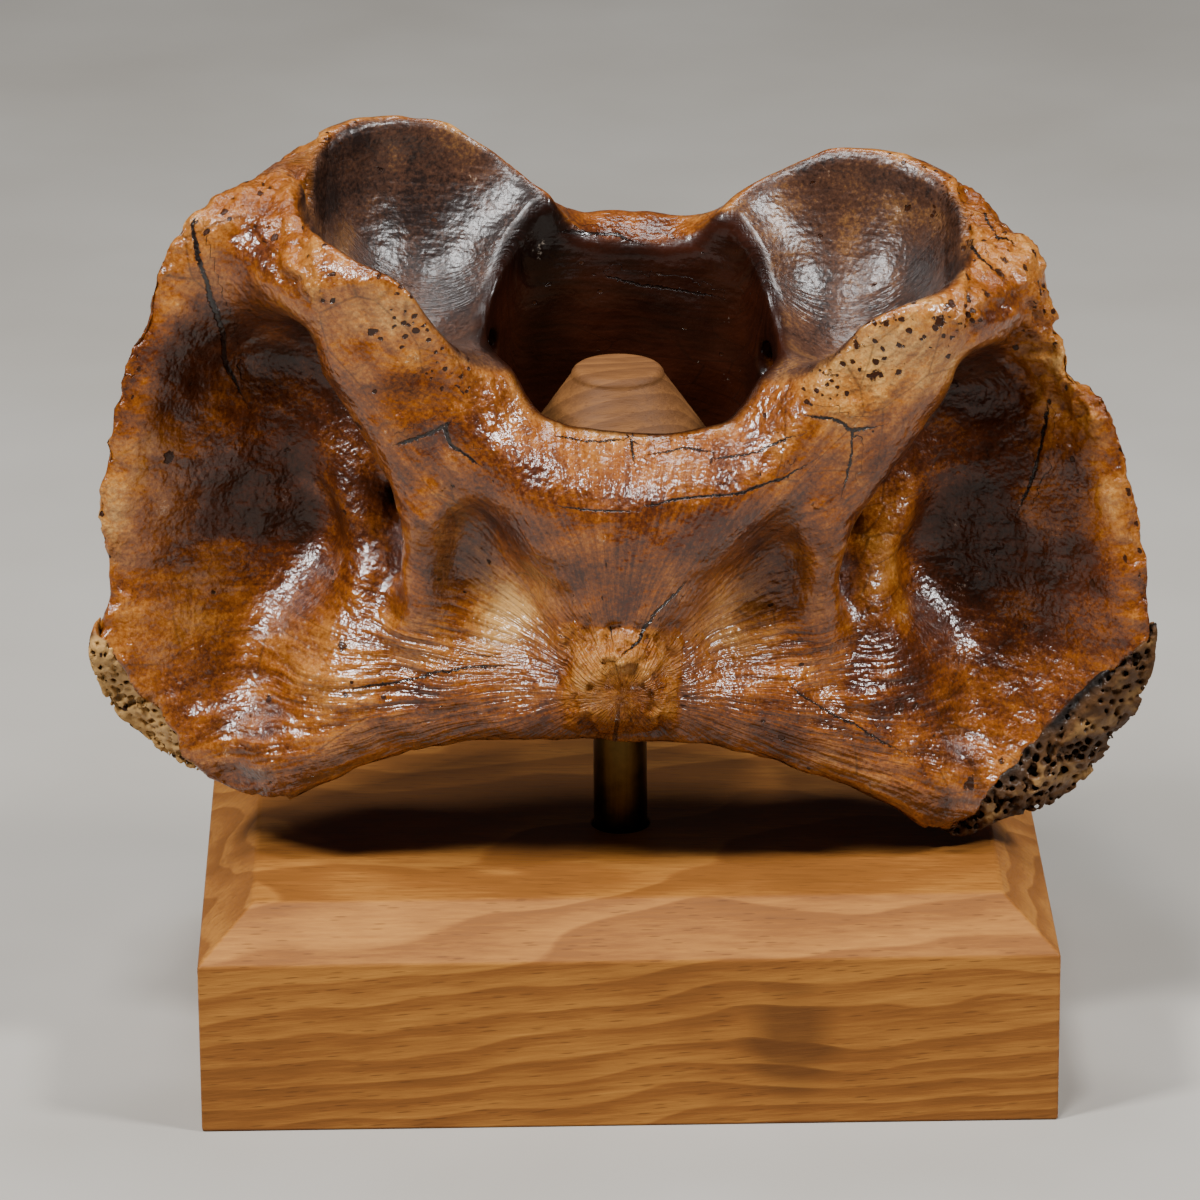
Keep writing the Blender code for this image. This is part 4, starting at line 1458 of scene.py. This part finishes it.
        # The sponge's tone holds painted shade deep in its pores.
        sponge = finish.ramp(finish.total(0.0, blotch=0.7, airing=1.0), (0.38, self.sponge_dark),
                             (0.72, self.sponge_brown), (0.98, self.sponge_tan))
        for mask, other in (("cup", cup), ("canal", canal), ("spongy", sponge)):
            colour = finish.mix(finish.has[mask], colour, other)
        return colour

    def pits(self, finish: Finish) -> Socket:
        """Where fine pits of two sizes open the surface, from 0 to 1."""
        has = finish.has
        pits = []
        for size, share in ((self.small_pits_mm, 0.80), (self.large_pits_mm, 0.14)):
            cells = finish.cells(finish.laid(has["fibre"], 1.5 * size, size, 1.3 * size))
            draw = add_node(finish.tree, "ShaderNodeSeparateColor", {0: cells.outputs["Color"]})
            has["extra_depth"], has["reach"] = draw.outputs[1], cells.outputs["Distance"]
            depth = finish.total(-0.46, extra_depth=0.26, grain=0.8, speck=0.5, reach=-1.0)
            chosen = finish.calc("LESS_THAN", draw.outputs[0], finish.total(0.01, porous=share))
            pits.append(finish.calc("MULTIPLY", finish.remap(depth, 0.0, 0.09), chosen))
        return finish.calc("MAXIMUM", *pits)

    @staticmethod
    def crack(finish: Finish) -> Socket:
        """Where a drying crack lies open, from 0 to 1."""
        line = finish.total(-1.35, crack_offset=1.0, speck=1.3, blotch=1.4)
        gap = finish.calc("SUBTRACT", finish.has["crack_width"], finish.calc("ABSOLUTE", line))
        return finish.remap(gap, -0.08, 0.10)

    @staticmethod
    def hairlines(finish: Finish) -> Socket:
        """Where hairlines that run with the fibres cross the varnish, from 0 to 1."""
        laid = finish.laid(finish.has["fibre"], 17.0, 5.0, 12.0)
        web = finish.cells(laid, feature="DISTANCE_TO_EDGE")
        line = finish.remap(web.outputs["Distance"], 0.004, 0.022, 1.0, 0.0)
        some = finish.remap(finish.total(-1.7, cloud=4.2, cup=-2.0), 0.0, 1.0, 0.0, 0.45)
        return finish.calc("MULTIPLY", line, some)

    def dusted(self, finish: Finish, colour: Socket) -> Socket:
        """The colour with whitish deposits over it."""
        amount = finish.total(0.0, blotch=0.55, speck=0.5, chalk=0.22)
        return finish.mix(finish.remap(amount, 0.70, 0.80, 0.0, 0.55), colour, self.deposit)

    def relief(self, finish: Finish) -> None:
        """Bump of the bone and, evened out, of the varnish over it. Heights are in mm."""
        has = finish.has
        rough_part = finish.total(1.0, cup=-0.5, canal=-0.8, worn=1.0)
        combing = finish.total(0.25, strip=0.85, worn=-0.25)
        has["combed"] = finish.calc("MULTIPLY", has["strands"], combing)
        surface = finish.total(0.0, grain=0.34, speck=0.12, wrinkles=0.55, combed=0.70)
        has["surface"] = finish.calc("MULTIPLY", surface, rough_part)
        bump = finish.bump(finish.total(0.0, surface=1.0, grain=0.06, pits=-0.6, crack=-0.8), 1.0)
        plain = add_node(finish.tree, "ShaderNodeNewGeometry").outputs["Normal"]
        level = add_node(finish.tree, "ShaderNodeMix", {0: self.coat_evenness, 4: bump, 5: plain},
                         data_type="VECTOR").outputs[1]
        unit = add_node(finish.tree, "ShaderNodeVectorMath", {0: level}, operation="NORMALIZE")
        finish.link(unit.outputs[0], "Coat Normal")


@dataclass(frozen=True)
class OiledWood:
    """Planed hardwood rubbed with oil: flowing growth rings, short dark pores, a dark knot low on
    the front and a satin sheen."""

    name: str = "oiled_planed_hardwood"
    light: str = "#b27936"
    middle: str = "#825020"
    dark: str = "#623a14"
    pore: str = "#4f2d10"
    ring_mm: float = 4.6
    grain_mm: float = 0.9
    late_wood: float = 0.92
    heart: Triple = (0.0, 0.04, 0.16)
    lean_degrees: float = 4.0
    turn_degrees: float = 3.0
    knot_shift: Triple = (-3.6, 5.4, -1.5)
    knot_scale: Triple = (120.0, 100.0, 90.0)
    roughness: float = 0.56
    specular: float = 0.2

    def make(self) -> bpy.types.Material:
        """Build the material, whose rings run round a leaning line along x."""
        finish = Finish(self.name)
        tree, has = finish.tree, finish.has
        log = add_node(tree, "ShaderNodeMapping",
                       {"Vector": finish.place, "Location": self.heart,
                        "Rotation": (0.0, radians(self.lean_degrees), radians(self.turn_degrees))}
                       ).outputs[0]
        stretched = finish.laid(log, 60.0, 30.0, 30.0)
        has["growth"] = self.growth(finish, log, finish.noise(stretched, 1.0, 2.0, 0.4))
        late = finish.remap(has["growth"], 0.0, self.late_wood, interpolation_type="SMOOTHSTEP")
        early = finish.remap(has["growth"], self.late_wood, 1.0, 1.0, 0.0)
        has["band"] = finish.calc("MINIMUM", late, early)
        has["grain"] = finish.noise(finish.laid(log, 26.0, self.grain_mm, self.grain_mm), 1.0, 5.0,
                                    0.65)
        has["cloud"] = finish.noise(stretched, 0.9, 4.0)
        wood = finish.ramp(finish.total(0.14, band=-0.16, grain=0.42, cloud=0.5),
                           (0.22, self.dark), (0.50, self.middle), (0.78, self.light))
        vessels = finish.cells(finish.laid(log, 9.0, 0.7, 0.7))
        has["vessel"] = finish.remap(vessels.outputs["Distance"], 0.13, 0.24, 0.5, 0.0)
        darkened = finish.calc("MAXIMUM", has["vessel"], self.knot(finish))
        finish.link(finish.mix(darkened, wood, self.pore), "Base Color")
        finish.link(finish.total(self.roughness - 0.11, grain=0.22), "Roughness")
        finish.bump(finish.calc("MULTIPLY_ADD", has["vessel"], -0.12, has["grain"]), 0.12)
        finish.hold(Specular_IOR_Level=self.specular)
        return finish.material

    def growth(self, finish: Finish, log: Socket, sway: Socket) -> Socket:
        """How far each place is through its year's ring, from 0 to 1."""
        flat = add_node(finish.tree, "ShaderNodeVectorMath", {0: log, 1: (0.0, 1.0, 1.0)},
                        operation="MULTIPLY")
        radius = add_node(finish.tree, "ShaderNodeVectorMath", {0: flat.outputs[0]},
                          operation="LENGTH").outputs["Value"]
        ring = finish.calc("MULTIPLY", radius, per_mm(self.ring_mm))
        return finish.calc("FRACT", finish.calc("MULTIPLY_ADD", sway, 4.6, ring))

    def knot(self, finish: Finish) -> Socket:
        """How dark a ragged knot stains each place, from 0 to 0.6."""
        spot = add_node(finish.tree, "ShaderNodeMapping",
                        {"Vector": finish.place, "Location": self.knot_shift,
                         "Scale": self.knot_scale})
        finish.has["reach"] = add_node(finish.tree, "ShaderNodeVectorMath", {0: spot.outputs[0]},
                                       operation="LENGTH").outputs["Value"]
        return finish.remap(finish.total(1.15, reach=-1.0, grain=0.9, cloud=-0.7, growth=0.5),
                            0.3, 0.9, 0.0, 0.6)


@dataclass(frozen=True)
class AgedBrass:
    """Drawn brass rod gone dull: an olive-brown tarnish with brighter draw lines and spots, both
    colours darkened as painted shade for its place under the bone.
    """

    bright_in_painted_shade: str = "#5b4522"
    dull: str = "#3a2c15"
    roughness: float = 0.34

    def make(self) -> bpy.types.Material:
        """Build the material."""
        finish = Finish("aged_drawn_brass_in_painted_shade")
        has = finish.has
        has["lines"] = finish.noise(finish.laid(finish.place, 0.5, 0.5, 18.0), 1.0, 3.0)
        has["tarnish"] = finish.noise(finish.place, per_mm(5.0), 6.0, 0.65)
        mixed = finish.calc("MULTIPLY_ADD", has["lines"], 0.3, has["tarnish"])
        # Both brass colours are darkened to paint the shade under the bone that the rod stands in.
        finish.link(finish.ramp(mixed, (0.42, self.dull), (0.86, self.bright_in_painted_shade)), "Base Color")
        finish.link(finish.total(self.roughness - 0.15, tarnish=0.3), "Roughness")
        finish.bump(has["lines"], 0.02)
        finish.hold(Metallic=1.0)
        return finish.material


@dataclass(frozen=True)
class PaleFloor:
    """Matt pale board that the model stands on."""

    colour: str = "#a8a49d"
    shade: str = "#9f9a92"
    roughness: float = 0.85

    def make(self) -> bpy.types.Material:
        """Build the material."""
        finish = Finish("matt_pale_board")
        tone = finish.noise(finish.place, per_mm(90.0), 3.0)
        finish.link(finish.ramp(tone, (0.3, self.shade), (0.7, self.colour)), "Base Color")
        finish.hold(Roughness=self.roughness)
        return finish.material


# The stand


AXIS_MM: Pair = (-0.6, -7.4)


def on_axis(height_mm: float) -> Matrix:
    """A move to this height on the axis of rod and cone."""
    return Matrix.Translation((AXIS_MM[0] * MM, AXIS_MM[1] * MM, height_mm * MM))


@dataclass(frozen=True)
class Plinth:
    """Planed plinth: straight sides, a wide sloping top edge and a raised field."""

    width_mm: float = 160.0
    depth_mm: float = 108.0
    side_height_mm: float = 33.5
    slope_run_mm: float = 9.8
    slope_rise_mm: float = 8.7
    field_step_mm: float = 0.35
    field_inset_mm: float = 0.5
    worn_edge_mm: float = 0.55
    worn_edge_segments: int = 3
    worn_edge_degrees: float = 28.0
    socket_radius_mm: float = 5.4
    socket_depth_mm: float = 12.0
    socket_sides: int = 48

    def top_mm(self) -> float:
        """Height of the raised field."""
        return self.side_height_mm + self.slope_rise_mm

    def build(self) -> bpy.types.Object:
        """Stack the plinth's rings from the floor to the field and soften its edges."""
        rings = ((0.0, 0.0), (0.0, self.side_height_mm),
                 (self.slope_run_mm, self.top_mm() - self.field_step_mm),
                 (self.slope_run_mm + self.field_inset_mm, self.top_mm()))
        shape = bmesh.new()
        loops = []
        for inset, height in rings:
            half_width = 0.5 * self.width_mm - inset
            half_depth = 0.5 * self.depth_mm - inset
            loops.append([shape.verts.new((x * half_width * MM, y * half_depth * MM, height * MM))
                          for x, y in ((-1, -1), (1, -1), (1, 1), (-1, 1))])
        for low, high in zip(loops[:-1], loops[1:]):
            for i in range(4):
                j = (i + 1) % 4
                shape.faces.new((low[i], low[j], high[j], high[i]))
        shape.faces.new(loops[0][::-1])
        shape.faces.new(loops[-1])
        bmesh.ops.recalc_face_normals(shape, faces=shape.faces)
        piece = Shop.from_bmesh("plinth", shape)
        self.drill(piece)
        edges = piece.modifiers.new("worn_edges", "BEVEL")
        edges.width = self.worn_edge_mm * MM
        edges.segments = self.worn_edge_segments
        edges.limit_method = "ANGLE"
        edges.angle_limit = radians(self.worn_edge_degrees)
        edges.harden_normals = True
        Shop.bake(piece)
        return piece

    def drill(self, piece: bpy.types.Object) -> None:
        """Cut the rod's socket into the field."""
        shape = bmesh.new()
        radius = self.socket_radius_mm * MM
        bmesh.ops.create_cone(shape, cap_ends=True, segments=self.socket_sides, radius1=radius,
                              radius2=radius, depth=2.0 * self.socket_depth_mm * MM,
                              matrix=on_axis(self.top_mm()))
        drill = Shop.from_bmesh("socket_drill", shape)
        hole = piece.modifiers.new("rod_socket", "BOOLEAN")
        hole.operation = "DIFFERENCE"
        hole.solver = "EXACT"
        hole.object = drill
        Shop.bake(piece)
        bpy.data.objects.remove(drill)


class Turning(Wiring):
    """Geometry Nodes that turn a profile line about z and ring its side with tool marks."""

    INPUTS = (("Ring Pitch", 0.001), ("Ring Depth", 0.0001), ("Sides", 64), ("Seed", 1))

    def __init__(self, name: str, material: bpy.types.Material) -> None:
        """Build the tree.

        Args:
            name: Name of the tree.
            material: What the turned piece is made of.
        """
        super().__init__(bpy.data.node_groups.new(name, "GeometryNodeTree"))
        face = self.tree.interface
        face.new_socket("Geometry", in_out="INPUT", socket_type="NodeSocketGeometry")
        self.sockets = {}
        for label, value in self.INPUTS:
            kind = "NodeSocketInt" if isinstance(value, int) else "NodeSocketFloat"
            socket = face.new_socket(label, in_out="INPUT", socket_type=kind)
            socket.default_value = value
            self.sockets[label] = socket.identifier
        face.new_socket("Geometry", in_out="OUTPUT", socket_type="NodeSocketGeometry")
        self.wire(material)

    def wire(self, material: bpy.types.Material) -> None:
        """Add the nodes: a grid bent round the axis, whose rows follow the profile's points."""
        tree = self.tree
        given = add_node(tree, "NodeGroupInput").outputs
        count = add_node(tree, "GeometryNodeAttributeDomainSize",
                         {"Geometry": given["Geometry"]}).outputs["Point Count"]
        sheet = add_node(tree, "GeometryNodeMeshGrid",
                         {"Size X": 1.0, "Size Y": 1.0, "Vertices Y": count,
                          "Vertices X": self.calc("ADD", given["Sides"], 1.0)})
        place = add_node(tree, "GeometryNodeInputPosition").outputs[0]
        spot = add_node(tree, "ShaderNodeSeparateXYZ", {0: place}).outputs
        row = self.calc("ROUND", self.calc("MULTIPLY", self.calc("ADD", spot["Y"], 0.5),
                                           self.calc("SUBTRACT", count, 1.0)))
        sample = add_node(tree, "GeometryNodeSampleIndex",
                          {"Geometry": given["Geometry"], "Value": place, "Index": row},
                          data_type="FLOAT_VECTOR")
        corner = add_node(tree, "ShaderNodeSeparateXYZ", {0: sample.outputs[0]}).outputs
        radius = self.ringed_radius(given, corner)
        angle = self.calc("MULTIPLY", spot["X"], 2.0 * pi)
        east, north = (self.calc("MULTIPLY", self.calc(part, angle), radius)
                       for part in ("COSINE", "SINE"))
        bent = add_node(tree, "ShaderNodeCombineXYZ", {0: east, 1: north, 2: corner["Z"]})
        shape = add_node(tree, "GeometryNodeSetPosition",
                         {"Geometry": sheet.outputs["Mesh"], "Position": bent.outputs[0]})
        for kind, inputs in (("GeometryNodeMergeByDistance", {"Distance": 1e-6}),
                             ("GeometryNodeSetShadeSmooth", {}),
                             ("GeometryNodeRealizeInstances", {}),
                             ("GeometryNodeSetMaterial", {"Material": material})):
            shape = add_node(tree, kind, {"Geometry": shape.outputs[0], **inputs})
        add_node(tree, "NodeGroupOutput", {0: shape.outputs[0]})

    def ringed_radius(self, given: bpy.types.NodeOutputs, corner: bpy.types.NodeOutputs) -> Socket:
        """The profile's radius less the depth of the tool mark at its height.

        Args:
            given: The tree's inputs.
            corner: The profile point's coordinates.

        Returns:
            The radius, never below 0.
        """
        ring = self.calc("ADD", self.calc("DIVIDE", corner["Z"], given["Ring Pitch"]),
                         given["Seed"])
        uneven = add_node(self.tree, "ShaderNodeTexNoise",
                          {"W": ring, "Scale": 1.0, "Detail": 2.0}, noise_dimensions="1D")
        depth = self.calc("MULTIPLY", uneven.outputs[0], given["Ring Depth"])
        return self.calc("MAXIMUM", self.calc("SUBTRACT", corner["X"], depth), 0.0)

    def run(self, piece: bpy.types.Object, pitch: float, depth: float, sides: int,
            seed: int) -> bpy.types.Object:
        """Turn an object's profile line into a plain mesh.

        Args:
            piece: Object whose mesh is the profile, in x (radius) and z.
            pitch: Height between rings, in metres.
            depth: Deepest ring, in metres.
            sides: Number of sides.
            seed: Chooses the rings.

        Returns:
            The same object, with its turned mesh.
        """
        lathe = piece.modifiers.new("turning", "NODES")
        lathe.node_group = self.tree
        for label, value in zip(self.sockets, (pitch, depth, sides, seed)):
            lathe[self.sockets[label]] = value
        Shop.bake(piece)
        shape = bmesh.new()
        shape.from_mesh(piece.data)
        bmesh.ops.recalc_face_normals(shape, faces=shape.faces)
        shape.to_mesh(piece.data)
        shape.free()
        return piece


@dataclass(frozen=True)
class TurnedPart:
    """A part turned on the lathe from a profile of (radius, height) corners, in mm."""

    name: str
    profile: tuple[Pair, ...]
    spacing_mm: float
    ring_pitch_mm: float
    ring_depth_mm: float
    sides: int
    seed: int

    def build(self, material: bpy.types.Material) -> bpy.types.Object:
        """Lay the profile out finely, turn it and put it on its axis.

        Args:
            material: Its finish.

        Returns:
            The part, in the shared frame.
        """
        points = [self.profile[0]]
        for (r0, z0), (r1, z1) in zip(self.profile[:-1], self.profile[1:]):
            length = np.hypot(r1 - r0, z1 - z0)
            count = max(1, int(np.ceil(length / self.spacing_mm)))
            points += [(r0 + (r1 - r0) * i / count, z0 + (z1 - z0) * i / count)
                       for i in range(1, count + 1)]
        mesh = bpy.data.meshes.new(self.name)
        mesh.from_pydata([(r * MM, 0.0, z * MM) for r, z in points],
                         [(i, i + 1) for i in range(len(points) - 1)], [])
        piece = Shop.linked(mesh)
        lathe = Turning("turning_of_" + self.name, material)
        lathe.run(piece, self.ring_pitch_mm * MM, self.ring_depth_mm * MM, self.sides, self.seed)
        piece.data.transform(on_axis(0.0))
        return piece


def rounded_top(radius: float, height: float, rounding: float) -> tuple[Pair, ...]:
    """Profile corners of a rounded shoulder that ends on the axis."""
    turns = [radians(degrees) for degrees in (0.0, 22.5, 45.0, 67.5, 90.0)]
    arc = tuple((radius - rounding * (1.0 - cos(turn)), height - rounding * (1.0 - sin(turn)))
                for turn in turns)
    return arc + ((0.0, height),)


CONE = TurnedPart(
    "cone", ((0.0, 118.0), (5.4, 118.0), (5.4, 104.0), (17.0, 104.0), (19.6, 110.0),
             (19.6, 117.0))
    + rounded_top(8.8, 134.0, 1.6),
    spacing_mm=0.5, ring_pitch_mm=0.9, ring_depth_mm=0.22, sides=96, seed=5)
ROD = TurnedPart(
    "rod", ((0.0, 30.5), (4.7, 30.5), (5.1, 30.9), (5.1, 117.3), (4.7, 117.7), (0.0, 117.7)),
    spacing_mm=1.2, ring_pitch_mm=2.3, ring_depth_mm=0.03, sides=64, seed=9)


# Studio


@dataclass(frozen=True)
class SoftBox:
    """A square studio light, in metres and watts."""

    name: str
    place: Triple
    aim: Triple
    width: float
    height: float
    watts: float
    colour: str = "#ffffff"

    def build(self) -> None:
        """Hang the light."""
        lamp = bpy.data.lights.new(self.name, "AREA")
        lamp.shape = "RECTANGLE"
        lamp.size = self.width
        lamp.size_y = self.height
        lamp.energy = self.watts
        lamp.color = linear(self.colour)[:3]
        item = Shop.linked(lamp)
        item.location = self.place
        direction = Vector(self.aim) - Vector(self.place)
        item.rotation_euler = direction.to_track_quat("-Z", "Y").to_euler()


@dataclass(frozen=True)
class Studio:
    """Pale floor, soft lights and the camera."""

    floor_half_size: float = 4.0
    camera_place: Triple = (-0.02370689, -1.23488, 0.55044)
    camera_forward: Triple = (0.01486048, 0.93557256, -0.35282169)
    camera_roll_degrees: float = -0.43
    camera_yaw_degrees: float = 0.91
    lens: float = 208.65
    sensor: float = 36.0
    clip: Pair = (0.05, 20.0)
    sky: str = "#e8ebf0"
    sky_strength: float = 0.06
    lights: tuple[SoftBox, ...] = (
        SoftBox("rear_softbox", (0.0, 0.30, 0.95), (0.0, 0.0, 0.12), 0.40, 0.20, 3.5),
        SoftBox("front_softbox", (-0.12, -0.45, 1.12), (0.0, -0.02, 0.10), 0.16, 0.16, 8.0),
        SoftBox("left_softbox", (-0.62, -0.40, 0.86), (0.0, -0.02, 0.10), 0.17, 0.17, 13.0),
        SoftBox("right_softbox", (0.68, -0.34, 0.84), (0.0, -0.02, 0.10), 0.16, 0.16, 11.0),
    )

    def build(self) -> None:
        """Set up floor, sky, lights and camera."""
        half = self.floor_half_size
        floor = Shop.from_arrays(
            "floor", np.array([(-half, -half, 0.0), (half, -half, 0.0), (half, half, 0.0),
                               (-half, half, 0.0)]), np.array([(0, 1, 2, 3)]))
        floor.data.materials.append(PaleFloor().make())
        floor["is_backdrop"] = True
        world = bpy.data.worlds.new("studio")
        world.use_nodes = True
        shade = world.node_tree.nodes["Background"]
        shade.inputs["Color"].default_value = linear(self.sky)
        shade.inputs["Strength"].default_value = self.sky_strength
        bpy.context.scene.world = world
        for light in self.lights:
            light.build()
        self.camera()

    def camera(self) -> None:
        """Place the camera that was fitted to the plinth's edges."""
        forward = Vector(self.camera_forward).normalized()
        yaw = radians(self.camera_yaw_degrees)
        level = Vector((cos(yaw), -sin(yaw), 0.0))
        upright = level.cross(forward)
        roll = radians(self.camera_roll_degrees)
        right = level * cos(roll) + upright * sin(roll)
        up = upright * cos(roll) - level * sin(roll)
        lens = bpy.data.cameras.new("camera")
        lens.lens = self.lens
        lens.sensor_width = self.sensor
        lens.clip_start, lens.clip_end = self.clip
        item = Shop.linked(lens)
        turn = Matrix((right, up, -forward)).transposed()
        item.matrix_world = Matrix.Translation(self.camera_place) @ turn.to_4x4()
        bpy.context.scene.camera = item


def main() -> None:
    """Build every piece in order."""
    logging.basicConfig(level=logging.INFO, format="%(message)s")
    cad_box = tuple(tuple(corner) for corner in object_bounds())
    Studio().build()

    wood = OiledWood().make()
    Shop.settle(Plinth().build(), wood, "oiled_wood", "stand_base")
    brass = AgedBrass().make()
    Shop.settle(ROD.build(brass), brass, "aged_brass", "stand_rod")
    turned = OiledWood(name="bare_turned_hardwood", light="#84572c", middle="#633f20",
                       dark="#4a2d16", ring_mm=3.0, heart=(0.02, 0.03, -0.10),
                       lean_degrees=8.0, roughness=0.6).make()
    Shop.settle(CONE.build(turned), turned, "turned_wood", "stand_cone")

    form, pose = AtlasForm(), Pose()
    bone = VarnishedBone().make()
    Shop.settle(BoneSkin(form, pose, cad_box).build(), bone, "varnished_bone", "atlas")
    for corner in BROKEN_CORNERS:
        piece = SpongyCorner(form, pose, cad_box, corner).build()
        Shop.settle(piece, bone, "varnished_bone", "atlas")


if __name__ == "__main__":
    main()
